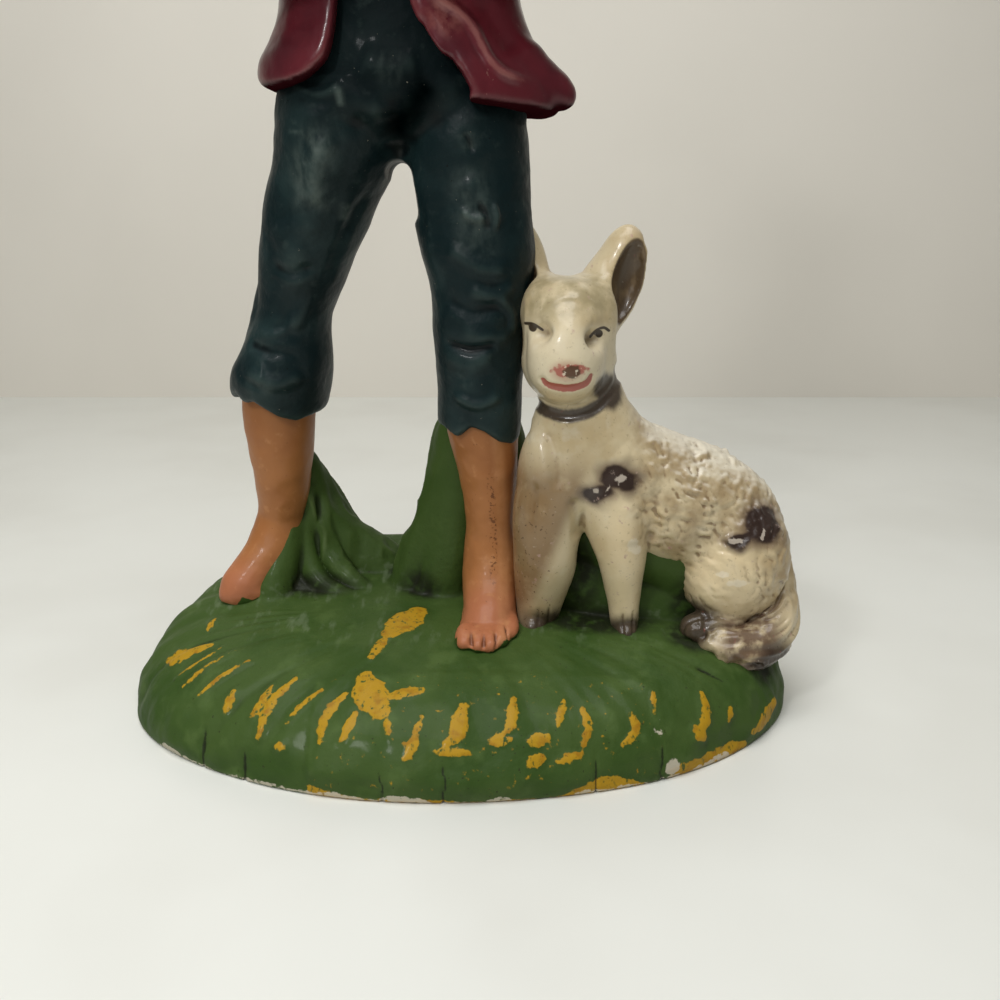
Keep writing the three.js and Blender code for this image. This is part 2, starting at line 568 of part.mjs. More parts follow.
function head(grow = 0) {
  const faceY = HEAD_Y - HEAD_DEPTH / 2;
  const neckAt = (height) => at(MID_X, MID_Y - 0.5, above(SHOULDER_HEIGHT + height));
  const neck = loft([
    { centre: neckAt(3), width: NECK_WIDTH * 0.8, depth: NECK_WIDTH * 0.8 },
    { centre: neckAt(8), width: NECK_WIDTH, depth: NECK_WIDTH },
    { centre: at(MID_X, HEAD_Y + 1, headZ(0.2)), width: NECK_WIDTH, depth: NECK_WIDTH * 1.1 },
  ], { sides: 10, steps: 1, grow });
  const nose = loft([
    { centre: at(MID_X, faceY + 1.2, headZ(0.55)), width: 2.2, depth: 2 },
    { centre: at(MID_X, faceY - 0.3, headZ(0.43)), width: 3.2, depth: 3.6 },
    { centre: at(MID_X, faceY - 0.8, headZ(0.36)), width: 4.8, depth: 4.6 },
    { centre: at(MID_X, faceY + 0.6, headZ(0.33)), width: 3.4, depth: 3 },
  ], { sides: 6, steps: 1, grow });
  const lips = ellipsoid(at(MID_X, faceY + 1.9, headZ(0.22)), at(7.2, 3.4, 2.6), grow, 0, 6);
  const chin = ellipsoid(at(MID_X, faceY + 3, headZ(0.07)), at(8, 6, 5), grow, 0, 6);
  const ears = [-1, 1].map((side) => ellipsoid(
    at(MID_X + side * HEAD_WIDTH * 0.49, HEAD_Y + 2, headZ(0.46)), at(3.2, 5.4, 8), grow, side * 18, 6));
  const sockets = [-1, 1].map((side) => ellipsoid(
    at(MID_X + side * HEAD_WIDTH * 0.2, faceY + 0.2, headZ(0.5)), at(6.4, 4.4, 4.4), -grow, 0, 6));
  const eyes = [-1, 1].map((side) => ellipsoid(
    at(MID_X + side * HEAD_WIDTH * 0.2, faceY + 2.6, headZ(0.5)), at(5.2, 4.6, 3.4), grow));
  const face = cut(headEgg(grow), ...sockets);
  return join(face, neck, nose, lips, chin, ...ears, ...eyes);
}

// Hair: a cap on the head, from the forehead back to the nape
function hair() {
  const region = new THREE.BoxGeometry(FAR, FAR, FAR);
  region.translate(0, 0, FAR / 2);
  region.rotateX(-degToRad(44));
  region.translate(MID_X, HEAD_Y, headZ(0.52));
  const whole = headEgg(HAIR_THICKNESS).intersect(solidOf(region));
  return cut(whole, head(GLUE_GAP));
}

const neckDowel = (grow = 0) => rod([
  at(MID_X, MID_Y - 0.5, above(SHOULDER_HEIGHT - 12)),
  at(MID_X, MID_Y - 0.5, above(SHOULDER_HEIGHT + 4)),
  at(MID_X, HEAD_Y + 1, headZ(0.3)),
], NECK_DOWEL, X_AXIS, grow);

// Dog, in distances from its middle on the ground, drawn 92.5 tall
const dogScale = DOG_HEIGHT / 92.5;
const dogAt = (x, y, height) => at(DOG_X + x * dogScale, DOG_Y + y * dogScale, above(height * dogScale));
const dogGround = (x, y) => groundHeight(DOG_X + x * dogScale, DOG_Y + y * dogScale);
const onGround = (x, y, rise) => at(DOG_X + x * dogScale, DOG_Y + y * dogScale, dogGround(x, y) + rise);

function dogBody(grow = 0) {
  const station = (x, y, height, width, depth) => (
    { centre: dogAt(x, y, height), width: width * DOG_BODY_WIDTH, depth: depth * DOG_BODY_DEPTH });
  const trunk = loft([
    station(-21, -4, 54, 0.8, 0.64),
    station(-18.5, -3, 45, 0.88, 0.74),
    station(-10, -1, 34.5, 0.96, 0.92),
    station(1, 1, 26.5, 1, 1),
    station(12, 2, 23.5, 1.04, 1.05),
    station(21.5, 2, 18.5, 1, 1),
    station(29, 1, 12, 0.7, 0.6),
    station(32.5, 0.5, 9.5, 0.24, 0.24),
  ], { sides: 12, steps: 1, sideways: Y_AXIS, grow });
  const chestSize = at(0.76 * DOG_BODY_WIDTH, 0.86 * DOG_BODY_WIDTH, DOG_BODY_DEPTH);
  const chest = ellipsoid(dogAt(-23, -4, 31), chestSize, grow, 0, 10);
  return join(trunk, chest);
}

function dogHead(grow = 0) {
  const width = DOG_HEAD_WIDTH;
  const height = DOG_HEAD_HEIGHT;
  const skull = ellipsoid(dogAt(-21.4, -4, 72), at(width * 0.98, width * 1.04, height * 0.78), grow, 0, 10);
  const cheeks = ellipsoid(dogAt(-21.6, -6, 63.5), at(width, width * 0.92, height * 0.64), grow, 0, 10);
  const muzzle = loft([
    { centre: dogAt(-21.6, -6, 63), width: width * 0.82, depth: height * 0.52 },
    { centre: dogAt(-21.9, -12, 61.2), width: width * 0.64, depth: height * 0.44 },
    { centre: dogAt(-22, -16, 60.6), width: width * 0.5, depth: height * 0.36 },
    { centre: dogAt(-22, -17.6, 60.8), width: width * 0.26, depth: height * 0.18 },
  ], { steps: 1, grow });
  const nose = ellipsoid(dogAt(-22.1, -17, 63.2), at(width * 0.29, width * 0.17, height * 0.13), grow, 0, 6);
  const neck = loft([
    { centre: dogAt(-20.6, -3.5, 46), width: width * 0.56, depth: width * 0.56 },
    { centre: dogAt(-20.8, -3.5, 54), width: width * 0.9, depth: width * 0.86 },
    { centre: dogAt(-21, -3.5, 62), width: width * 0.92, depth: width * 0.9 },
  ], { steps: 1, grow });
  return join(skull, cheeks, muzzle, nose, neck);
}

// Pricked ear: a leaf along root to tip, cupped in front
function dogEar(root, tip, sideways, grow = 0) {
  const length = DOG_EAR_LENGTH;
  const ahead = tip.clone().sub(root).normalize();
  const front = new THREE.Vector3().crossVectors(sideways, ahead).normalize();
  const along = (share, out) => root.clone()
    .addScaledVector(ahead, share * length)
    .addScaledVector(front, out);
  const leaf = loft([
    { centre: along(-0.1, 0), width: DOG_EAR_WIDTH * 0.8, depth: 6 },
    { centre: along(0.26, 0), width: DOG_EAR_WIDTH, depth: 5.4 },
    { centre: along(0.55, 0), width: DOG_EAR_WIDTH * 0.82, depth: 4.6 },
    { centre: along(0.8, 0), width: DOG_EAR_WIDTH * 0.52, depth: 3.4 },
    { centre: along(1, 0), width: DOG_EAR_WIDTH * 0.12, depth: 1.4 },
  ], { sides: 8, steps: 1, sideways, grow });
  const cup = loft([
    { centre: along(0.16, -2.6), width: DOG_EAR_WIDTH * 0.42, depth: 3 },
    { centre: along(0.42, -2.7), width: DOG_EAR_WIDTH * 0.62, depth: 3.6 },
    { centre: along(0.84, -2.1), width: DOG_EAR_WIDTH * 0.24, depth: 2.6 },
  ], { sides: 6, steps: 1, sideways, grow: -grow });
  return cut(leaf, cup);
}

const dogLeftEar = (grow) => dogEar(dogAt(-15, -2.5, 75), dogAt(-7.4, -1, 92.3), X_AXIS, grow);
const dogRightEar = (grow) => dogEar(
  dogAt(-27.6, -0.5, 75), dogAt(-30.4, 7, 92.6), at(0.88, -0.47, 0), grow);

function dogForeleg(shoulder, wrist, paw, girth, grow = 0) {
  const middle = shoulder.clone().lerp(wrist, 0.5);
  const bed = groundHeight(paw.x, paw.y) - BEDDING;
  const shaft = loft([
    { centre: shoulder, width: girth * 1.25, depth: girth * 1.35 },
    { centre: middle, width: girth * 1.1, depth: girth * 1.15 },
    { centre: wrist, width: girth * 0.86, depth: girth * 0.92 },
    { centre: at(paw.x, paw.y + 2.5, bed + 2), width: girth * 0.84, depth: girth * 0.9 },
  ], { sides: 10, steps: 1, grow });
  const foot = ellipsoid(at(paw.x, paw.y - 1, bed + 2.6), at(girth * 1.18, girth * 1.5, 6.6), grow);
  return join(shaft, foot);
}

const dogLeftForeleg = (grow) => dogForeleg(
  dogAt(-11, -7, 32), dogAt(-6.6, -9, 9), dogAt(-6, -10.5, 0), DOG_LEG_WIDTH, grow);
const dogRightForeleg = (grow) => dogForeleg(
  dogAt(-25, -5, 28), dogAt(-26, -4.5, 8), dogAt(-26.8, -6.5, 0), DOG_LEG_WIDTH * 1.14, grow);

// Haunch: the folded thigh and the long hind foot under it; side is -1 for the near one
function dogHaunch(side, grow = 0) {
  const y = 1.5 + side * 8.5;
  const outer = y + side * 4.5;
  const thigh = ellipsoid(
    dogAt(19, y, 13.5), at(DOG_HAUNCH_LENGTH, DOG_BODY_WIDTH * 0.66, DOG_HAUNCH_HEIGHT), grow, side * 6, 10);
  const girth = DOG_LEG_WIDTH;
  const foot = loft([
    { centre: onGround(20, outer - side, girth * 0.51 - BEDDING), width: girth * 0.83, depth: girth },
    { centre: onGround(13, outer, girth * 0.45 - BEDDING), width: girth * 0.83, depth: girth * 0.89 },
    { centre: onGround(7.5, outer, girth * 0.36 - BEDDING), width: girth * 0.89, depth: girth * 0.73 },
    { centre: onGround(5, outer, girth * 0.31 - BEDDING), width: girth * 0.5, depth: girth * 0.4 },
  ], { sides: 10, steps: 1, sideways: Y_AXIS, grow });
  return join(thigh, foot);
}

// Tail: brought round to the front along the edge of the mound
function dogTail(grow = 0) {
  const lying = (x, y, width) => (
    { centre: onGround(x, y, width / 2 - BEDDING), width, depth: width });
  return loft([
    { centre: dogAt(26, 4, 6), width: DOG_TAIL_WIDTH * 0.7, depth: DOG_TAIL_WIDTH * 0.8 },
    { centre: dogAt(29.5, -2.5, 0), width: DOG_TAIL_WIDTH * 0.9, depth: DOG_TAIL_WIDTH },
    lying(28, -9.5, DOG_TAIL_WIDTH),
    lying(22, -14.5, DOG_TAIL_WIDTH * 0.86),
    lying(14.5, -17, DOG_TAIL_WIDTH * 0.3),
  ], { sides: 10, steps: 1, grow });
}

const dogNeckWire = (grow = 0) => rod(
  [dogAt(-13, -1, 38), dogAt(-19, -3, 52), dogAt(-21.4, -4, 70)], DOG_WIRE, Y_AXIS, grow);

function dogForelegWire(shoulder, wrist, paw, grow = 0) {
  const bed = groundHeight(paw.x, paw.y);
  return rod([
    at(paw.x, paw.y + 2.5, bed - BEDDING - BASE_WALL * 0.5),
    at(paw.x, paw.y + 2.5, bed + 2),
    wrist,
    shoulder.clone().lerp(wrist, 0.3),
  ], DOG_WIRE, Y_AXIS, grow);
}

const dogLeftForelegWire = (grow) => dogForelegWire(
  dogAt(-11, -7, 32), dogAt(-6.6, -9, 9), dogAt(-6, -10.5, 0), grow);
const dogRightForelegWire = (grow) => dogForelegWire(
  dogAt(-25, -5, 28), dogAt(-26, -4.5, 8), dogAt(-26.8, -6.5, 0), grow);

const dogRumpPeg = (grow = 0) => rod([
  onGround(17, 1.5, -BASE_WALL * 0.7),
  dogAt(17, 1.5, 8),
  dogAt(17, 1.5, 18),
], RUMP_PEG, X_AXIS, grow, 1);

// Grass: fluted clumps that stand behind the legs and under the dog
function clump(foot, top, footSize, topSize, flutes, grow = 0) {
  const bed = groundHeight(foot.x, foot.y) - BEDDING;
  const level = (share, swell) => ({
    centre: at(lerp(foot.x, top.x, share), lerp(foot.y, top.y, share), lerp(bed, top.z, share)),
    width: lerp(footSize.x, topSize.x, swell),
    depth: lerp(footSize.y, topSize.y, swell),
  });
  return loft([level(0, 0), level(0.3, 0.42), level(0.65, 0.78), level(1, 1)], {
    sides: 14,
    steps: 1,
    grow,
    ripple: (share, angle) => 0.9 * Math.cos(flutes * angle + 3 * share),
  });
}

const rightClump = (grow) => clump(
  plan(-24.5, 13), at(MID_X - 30.5, MID_Y + 17, above(HEM_HEIGHT * 0.69)),
  { x: CLUMP_WIDTH * 0.97, y: CLUMP_DEPTH * 1.1 }, { x: CLUMP_WIDTH * 0.27, y: CLUMP_DEPTH * 0.4 }, 7, grow);
const leftClump = (grow) => clump(
  plan(11.5, 8), at(MID_X + 13.5, MID_Y + 7, above(HEM_HEIGHT * 0.98)),
  { x: CLUMP_WIDTH, y: CLUMP_DEPTH }, { x: CLUMP_WIDTH * 0.45, y: CLUMP_DEPTH * 0.55 }, 7, grow);
const dogClump = (grow) => clump(
  { x: DOG_X + 1, y: DOG_Y + 3 }, dogAt(1, 3, 22),
  { x: CLUMP_WIDTH * 1.09, y: CLUMP_DEPTH }, { x: CLUMP_WIDTH * 0.85, y: CLUMP_DEPTH * 0.7 }, 7, grow);

// Paints
const paint = (color, roughness) => new THREE.MeshStandardMaterial({ color, roughness, metalness: 0 });
const green = paint(0x3d4e28, 0.5);
const teal = paint(0x1a2423, 0.35);
const plum = paint(0x4d1c24, 0.3);
const skinTone = paint(0x9c6a45, 0.45);
const cream = paint(0xc0ac86, 0.4);
const linen = paint(0xb9ae93, 0.6);
const brown = paint(0x2f1f15, 0.5);
const card = paint(0x8d7a5c, 0.9);
const wood = paint(0xa98a5e, 0.7);
const wire = new THREE.MeshStandardMaterial({ color: 0x6e6a64, roughness: 0.5, metalness: 1 });

function addPiece(group, name, solid, material) {
  const { vertProperties, triVerts } = solid.getMesh();
  const geometry = new THREE.BufferGeometry();
  geometry.setAttribute("position", new THREE.BufferAttribute(vertProperties, 3));
  geometry.setIndex(new THREE.BufferAttribute(triVerts, 1));
  geometry.translate(-group.position.x, -group.position.y, -group.position.z);
  geometry.computeVertexNormals();
  const mesh = new THREE.Mesh(geometry, material);
  mesh.name = name;
  group.add(mesh);
}

const shepherd = new THREE.Group();
const base = new THREE.Group();
const figure = new THREE.Group();
const dog = new THREE.Group();
figure.position.set(MID_X, MID_Y, CROWN_HEIGHT);
dog.position.set(DOG_X, DOG_Y, CROWN_HEIGHT);
shepherd.add(base, figure, dog);

// Base: the mound is hollow, closed by a card; what stands on it is trimmed to its surface
const mound = cut(
  dome(0, DOME_SIDES, SKIN_SHARES),
  dome(BASE_WALL, 20, HOLLOW_SHARES),
  oval(CARD_MARGIN - GLUE_GAP, -1, CARD_THICKNESS + GLUE_GAP, 20),
  leftLegWire(GLUE_GAP), rightLegWire(GLUE_GAP),
  dogLeftForelegWire(GLUE_GAP), dogRightForelegWire(GLUE_GAP), dogRumpPeg(GLUE_GAP),
);
const ground = dome(-GLUE_GAP, DOME_SIDES, SKIN_SHARES);
const clothSpace = trousers(GLUE_GAP);
addPiece(base, "base_mound", mound, green);
addPiece(base, "base_card", oval(CARD_MARGIN, 0, CARD_THICKNESS, 20), card);
addPiece(base, "right_grass_clump", cut(rightClump(0), ground, rightLeg(GLUE_GAP), clothSpace), green);
addPiece(base, "left_grass_clump",
  cut(leftClump(0), ground, leftLeg(GLUE_GAP), clothSpace,
    dogBody(GLUE_GAP), dogRightForeleg(GLUE_GAP)), green);
addPiece(base, "dog_grass_clump",
  cut(dogClump(0), ground, dogBody(GLUE_GAP), dogLeftForeleg(GLUE_GAP), dogRightForeleg(GLUE_GAP),
    dogHaunch(-1, GLUE_GAP), dogHaunch(1, GLUE_GAP), dogRumpPeg(GLUE_GAP), leftClump(GLUE_GAP)), green);

// Figure
addPiece(figure, "right_leg", cut(rightLeg(0), ground, rightLegWire(GLUE_GAP)), skinTone);
addPiece(figure, "left_leg", cut(leftLeg(0), ground, leftLegWire(GLUE_GAP)), skinTone);
addPiece(figure, "right_leg_wire", rightLegWire(0), wire);
addPiece(figure, "left_leg_wire", leftLegWire(0), wire);

const seamTurn = THREE.MathUtils.radToDeg(
  Math.atan2(LEFT_KNEE.y - RIGHT_KNEE.y, LEFT_KNEE.x - RIGHT_KNEE.x));
const cloth = halves(
  cut(trousers(0), rightLeg(GLUE_GAP), leftLeg(GLUE_GAP), rightLegWire(GLUE_GAP), leftLegWire(GLUE_GAP)),
  LEFT_KNEE.x, LEFT_KNEE.y, seamTurn);
addPiece(figure, "trousers_front", cloth.front, teal);
addPiece(figure, "trousers_back", cloth.back, teal);

const shirt = halves(
  cut(torso(0), head(GLUE_GAP), neckDowel(GLUE_GAP), armWire(-1, GLUE_GAP), armWire(1, GLUE_GAP)),
  MID_X, MID_Y, 0);
addPiece(figure, "torso_front", shirt.front, linen);
addPiece(figure, "torso_back", shirt.back, linen);

const jacket = halves(
  cut(jacketForm(0), body(GLUE_GAP), leftTrouser(GLUE_GAP), rightTrouser(GLUE_GAP), head(GLUE_GAP),
    armWire(-1, GLUE_GAP), armWire(1, GLUE_GAP)),
  MID_X, MID_Y, 0);
const panels = cut(jacket.front, jacketOpening());
const rightSide = block(at(-FAR, -FAR, -FAR), at(MID_X, FAR, FAR));
addPiece(figure, "jacket_right_front", panels.intersect(rightSide), plum);
addPiece(figure, "jacket_left_front", panels.subtract(rightSide), plum);
addPiece(figure, "jacket_back", jacket.back, plum);

for (const [name, side] of [["right", -1], ["left", 1]]) {
  addPiece(figure, `${name}_sleeve`,
    cut(sleeve(side), jacketForm(GLUE_GAP), torso(GLUE_GAP),
      hand(side, GLUE_GAP), armWire(side, GLUE_GAP)), plum);
  addPiece(figure, `${name}_hand`,
    cut(hand(side), armWire(side, GLUE_GAP), jacketForm(GLUE_GAP), torso(GLUE_GAP)), skinTone);
  addPiece(figure, `${name}_arm_wire`, armWire(side), wire);
}
addPiece(figure, "head", cut(head(0), neckDowel(GLUE_GAP)), skinTone);
addPiece(figure, "hair", hair(), brown);
addPiece(figure, "neck_dowel", neckDowel(0), wood);

// Dog
const trunk = halves(
  cut(dogBody(0), dogHead(GLUE_GAP), dogLeftForeleg(GLUE_GAP), dogRightForeleg(GLUE_GAP),
    dogHaunch(-1, GLUE_GAP), dogHaunch(1, GLUE_GAP), dogTail(GLUE_GAP), leftLeg(GLUE_GAP), clothSpace,
    dogNeckWire(GLUE_GAP), dogRumpPeg(GLUE_GAP)),
  DOG_X, DOG_Y + 0.5, 4);
addPiece(dog, "dog_body_left", trunk.front, cream);
addPiece(dog, "dog_body_right", trunk.back, cream);
addPiece(dog, "dog_head",
  cut(dogHead(0), dogLeftEar(GLUE_GAP), dogRightEar(GLUE_GAP), clothSpace, dogNeckWire(GLUE_GAP)), cream);
addPiece(dog, "dog_left_ear", dogLeftEar(0), cream);
addPiece(dog, "dog_right_ear", cut(dogRightEar(0), clothSpace), cream);
addPiece(dog, "dog_left_foreleg", cut(dogLeftForeleg(0), ground, dogLeftForelegWire(GLUE_GAP)), cream);
addPiece(dog, "dog_right_foreleg",
  cut(dogRightForeleg(0), ground, dogRightForelegWire(GLUE_GAP), leftLeg(GLUE_GAP)), cream);
addPiece(dog, "dog_left_haunch", cut(dogHaunch(-1), ground, dogTail(GLUE_GAP), dogRumpPeg(GLUE_GAP)), cream);
addPiece(dog, "dog_right_haunch",
  cut(dogHaunch(1), ground, dogHaunch(-1, GLUE_GAP), dogTail(GLUE_GAP), dogRumpPeg(GLUE_GAP)), cream);
addPiece(dog, "dog_tail", cut(dogTail(0), ground, dogRumpPeg(GLUE_GAP)), cream);
addPiece(dog, "dog_neck_wire", dogNeckWire(0), wire);
addPiece(dog, "dog_left_foreleg_wire", dogLeftForelegWire(0), wire);
addPiece(dog, "dog_right_foreleg_wire", dogRightForelegWire(0), wire);
addPiece(dog, "dog_rump_peg", dogRumpPeg(0), wood);

export default shepherd;
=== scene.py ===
"""Painted papier-mache shepherd with a sitting dog on a grassy mound.

Millimetres in the frame of the CAD part: +Z up, the figure faces -Y, right and left are its own sides.
Each painted piece is modelled like clay: rounded forms are pressed together on a grid, the grid gives a
skin, the skin is tooled with creases, fur and grooves, and paint masks are laid on it for the materials.
"""

import itertools
import json
import math

import bpy
import numpy as np
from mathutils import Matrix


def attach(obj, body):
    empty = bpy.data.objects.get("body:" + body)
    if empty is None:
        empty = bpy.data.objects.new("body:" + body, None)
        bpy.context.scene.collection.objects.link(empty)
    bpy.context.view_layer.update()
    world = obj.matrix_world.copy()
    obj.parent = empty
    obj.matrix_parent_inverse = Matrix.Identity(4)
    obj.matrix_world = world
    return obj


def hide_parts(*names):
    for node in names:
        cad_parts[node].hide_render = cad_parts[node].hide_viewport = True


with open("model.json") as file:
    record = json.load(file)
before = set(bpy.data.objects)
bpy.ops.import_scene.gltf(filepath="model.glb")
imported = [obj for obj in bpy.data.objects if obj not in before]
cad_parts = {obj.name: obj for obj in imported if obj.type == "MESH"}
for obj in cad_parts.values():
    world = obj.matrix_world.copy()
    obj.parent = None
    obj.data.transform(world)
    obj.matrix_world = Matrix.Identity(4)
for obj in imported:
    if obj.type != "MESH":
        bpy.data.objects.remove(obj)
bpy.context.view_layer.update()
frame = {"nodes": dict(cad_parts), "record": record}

MM = 0.001
CELL = 0.55
FINE = 0.4
OPEN_AIR = 40.0
ROUND_END = 1.5

# Mound, as in the CAD part
BASE_WIDTH = 163
BASE_DEPTH = 98
CROWN_HEIGHT = 24
BACK_RISE = 3.5
HUMP_RISE = 6
HUMP_TURN = 120
SQUARENESS = 6.5
BACK_SQUARENESS = 2.5
HUMP_SQUARENESS = 9
RIGHT_SLACKNESS = 2.2
DOME_POWER = 0.45
RIGHT_SPREAD = 0.03
CARD_MARGIN = 5

# Middle of the figure from side to side
MID_X = -12.5


def curve_through(points, steps=8):
    """Points along a smooth curve through the given rows of numbers."""
    rows = np.array(points, float)
    if len(rows) == 2:
        return rows[0] + np.linspace(0, 1, steps + 1)[:, None] * (rows[1] - rows[0])
    padded = np.vstack([2 * rows[0] - rows[1], rows, 2 * rows[-1] - rows[-2]])
    shares = np.linspace(0, 1, steps, endpoint=False)[:, None]
    parts = []
    for a, b, c, d in zip(padded, padded[1:], padded[2:], padded[3:]):
        bend = 2 * a - 5 * b + 4 * c - d
        twist = 3 * (b - c) + d - a
        parts.append(0.5 * (2 * b + (c - a) * shares + bend * shares**2 + twist * shares**3))
    return np.vstack(parts + [rows[-1:]])


def turned(degrees):
    """Turn about X, then Y, then Z."""
    turn = np.eye(3)
    for axis, angle in enumerate(np.radians(degrees)):
        one, two = [(1, 2), (2, 0), (0, 1)][axis]
        step = np.eye(3)
        step[one, one] = step[two, two] = math.cos(angle)
        step[two, one] = math.sin(angle)
        step[one, two] = -math.sin(angle)
        turn = step @ turn
    return turn


def soft_min(a, b, soft):
    if soft <= 0:
        return np.minimum(a, b)
    share = np.clip(0.5 + 0.5 * (b - a) / soft, 0, 1)
    return b + (a - b) * share - soft * share * (1 - share)


def soft_max(a, b, soft):
    return -soft_min(-a, -b, soft)


class Clay:
    """Clay on a grid: the field is the distance to its surface, negative inside."""

    def __init__(self, low, high, cell):
        self.low = np.array(low, float)
        self.cell = cell
        counts = np.ceil((np.array(high, float) - self.low) / cell).astype(int) + 1
        self.axes = [self.low[k] + cell * np.arange(counts[k]) for k in range(3)]
        self.field = np.full(tuple(counts), OPEN_AIR, np.float32)

    def window(self, low, high):
        spans = []
        for k in range(3):
            first, last = np.searchsorted(self.axes[k], [low[k], high[k]])
            spans.append(slice(int(first), int(last)))
        places = [self.axes[k][spans[k]].astype(np.float32) for k in range(3)]
        return tuple(spans), np.meshgrid(*places, indexing="ij", sparse=True)

    def everywhere(self):
        return self.window(self.low - 1, [axis[-1] + 1 for axis in self.axes])[1]

    def press(self, low, high, distance, soft, cutting=False):
        reach = soft + 2 * self.cell
        spans, grid = self.window(np.array(low) - reach, np.array(high) + reach)
        if 0 in self.field[spans].shape:
            return
        shape = distance(*grid)
        if cutting:
            self.field[spans] = soft_max(self.field[spans], -shape, soft)
        else:
            self.field[spans] = soft_min(self.field[spans], shape, soft)

    def ball(self, centre, radii, turn=(0, 0, 0), soft=0, cutting=False):
        """A rounded lump with three half-sizes, turned about X, Y and Z."""
        centre = np.array(centre, float)
        radii = np.array(radii, float) * np.ones(3)
        spin = turned(turn)
        reach = np.abs(spin) @ radii

        def distance(x, y, z):
            dx, dy, dz = x - centre[0], y - centre[1], z - centre[2]
            near = 0
            steep = 0
            for k in range(3):
                along = spin[0, k] * dx + spin[1, k] * dy + spin[2, k] * dz
                near = near + (along / radii[k]) ** 2
                steep = steep + (along / radii[k] ** 2) ** 2
            near = np.sqrt(near)
            return near * (near - 1) / np.maximum(np.sqrt(steep), 1e-4)

        self.press(centre - reach, centre + reach, distance, soft, cutting)

    def limb(self, stations, soft=0, flat=1.0, steps=6, cutting=False):
        """A rounded limb along a curve through (x, y, z, radius); flat squeezes it in depth."""
        rows = curve_through(stations, steps)
        for start, end in zip(rows, rows[1:]):
            along = end[:3] - start[:3]
            long = max(float(along @ along), 1e-6)
            girth = max(start[3], end[3])

            def distance(x, y, z):
                dx, dy, dz = x - start[0], y - start[1], z - start[2]
                share = np.clip((dx * along[0] + dy * along[1] + dz * along[2]) / long, 0, 1)
                off = (dy - share * along[1]) / flat
                away = (dx - share * along[0]) ** 2 + off**2 + (dz - share * along[2]) ** 2
                return (np.sqrt(away) - start[3] - share * (end[3] - start[3])) * min(flat, 1)

            low = np.minimum(start[:3], end[:3]) - girth
            high = np.maximum(start[:3], end[:3]) + girth
            self.press(low, high, distance, soft, cutting)

    def column(self, levels, soft=0):
        """An upright form through levels (z, x, y, width, depth)."""
        rows = curve_through(levels, 8)
        bottom, top = rows[0, 0], rows[-1, 0]

        def distance(x, y, z):
            x_mid, y_mid, wide, deep = (np.interp(z, rows[:, 0], rows[:, k]) for k in range(1, 5))
            near = np.sqrt(((x - x_mid) * 2 / wide) ** 2 + ((y - y_mid) * 2 / deep) ** 2)
            side = (near - 1) * np.minimum(wide, deep) / 2
            return soft_max(side, np.maximum(bottom - z, z - top) + 0 * side, ROUND_END)

        half = rows[:, 3:5].max(0) / 2
        low = [rows[:, 1].min() - half[0], rows[:, 2].min() - half[1], bottom]
        high = [rows[:, 1].max() + half[0], rows[:, 2].max() + half[1], top]
        self.press(low, high, distance, soft)


def skin_of(clay):
    """Points and four-sided faces of the clay's surface."""
    field = clay.field
    inside = field < 0
    sizes = [n - 1 for n in field.shape]
    corners = list(itertools.product((0, 1), repeat=3))

    def shifted(values, corner):
        return values[tuple(slice(c, c + n) for c, n in zip(corner, sizes))]

    filled = sum(shifted(inside, corner).astype(np.int8) for corner in corners)
    crossed = (filled > 0) & (filled < 8)
    cells = np.argwhere(crossed)
    number = np.full(crossed.shape, -1, np.int64)
    number[crossed] = np.arange(len(cells))
    values = {corner: field[tuple((cells + corner).T)].astype(float) for corner in corners}
    total = np.zeros((len(cells), 3))
    hits = np.zeros((len(cells), 1))
    for corner in corners:
        for axis in range(3):
            if corner[axis]:
                continue
            other = tuple(1 if k == axis else c for k, c in enumerate(corner))
            a, b = values[corner], values[other]
            hit = (a < 0) != (b < 0)
            spot = np.tile(np.array(corner, float), (len(cells), 1))
            spot[:, axis] = a / np.where(hit, a - b, 1)
            total += np.where(hit[:, None], spot, 0)
            hits += hit[:, None]
    points = clay.low + clay.cell * (cells + total / hits)
    faces = []
    for axis in range(3):
        one, two = (axis + 1) % 3, (axis + 2) % 3
        near = [slice(1, -1)] * 3
        near[axis] = slice(0, -1)
        far = list(near)
        far[axis] = slice(1, None)
        lower, upper = inside[tuple(near)], inside[tuple(far)]
        edges = np.argwhere(lower != upper)
        outward = lower[tuple(edges.T)]
        edges[:, one] += 1
        edges[:, two] += 1
        around = []
        for back_one, back_two in ((1, 1), (0, 1), (0, 0), (1, 0)):
            cell = edges.copy()
            cell[:, one] -= back_one
            cell[:, two] -= back_two
            around.append(number[tuple(cell.T)])
        quads = np.stack(around, 1)
        faces.append(np.where(outward[:, None], quads, quads[:, ::-1]))
    return points, np.vstack(faces)


LATTICE = np.random.default_rng(11).random((32, 32, 32)) * 2 - 1


def noise(points, size, shift=0.0):
    """Smooth unevenness from -1 to 1 with lumps of the given size."""
    spot = points / size + np.array([3.1, 7.7, 5.3]) * (shift + 1)
    cell = np.floor(spot).astype(int)
    share = spot - cell
    share = share * share * (3 - 2 * share)
    total = 0
    for corner in itertools.product((0, 1), repeat=3):
        weight = 1
        for k in range(3):
            weight = weight * (share[:, k] if corner[k] else 1 - share[:, k])
        total = total + weight * LATTICE[tuple(((cell + corner) & 31).T)]
    return total


def rough(points, size, shift=0.0, octaves=3):
    return sum(noise(points, size / 2**k, shift + 3.3 * k) / 2**k for k in range(octaves))


def rise(values, low, high):
    """0 below low, 1 above high, smooth between."""
    share = np.clip((values - low) / (high - low), 0, 1)
    return share * share * (3 - 2 * share)


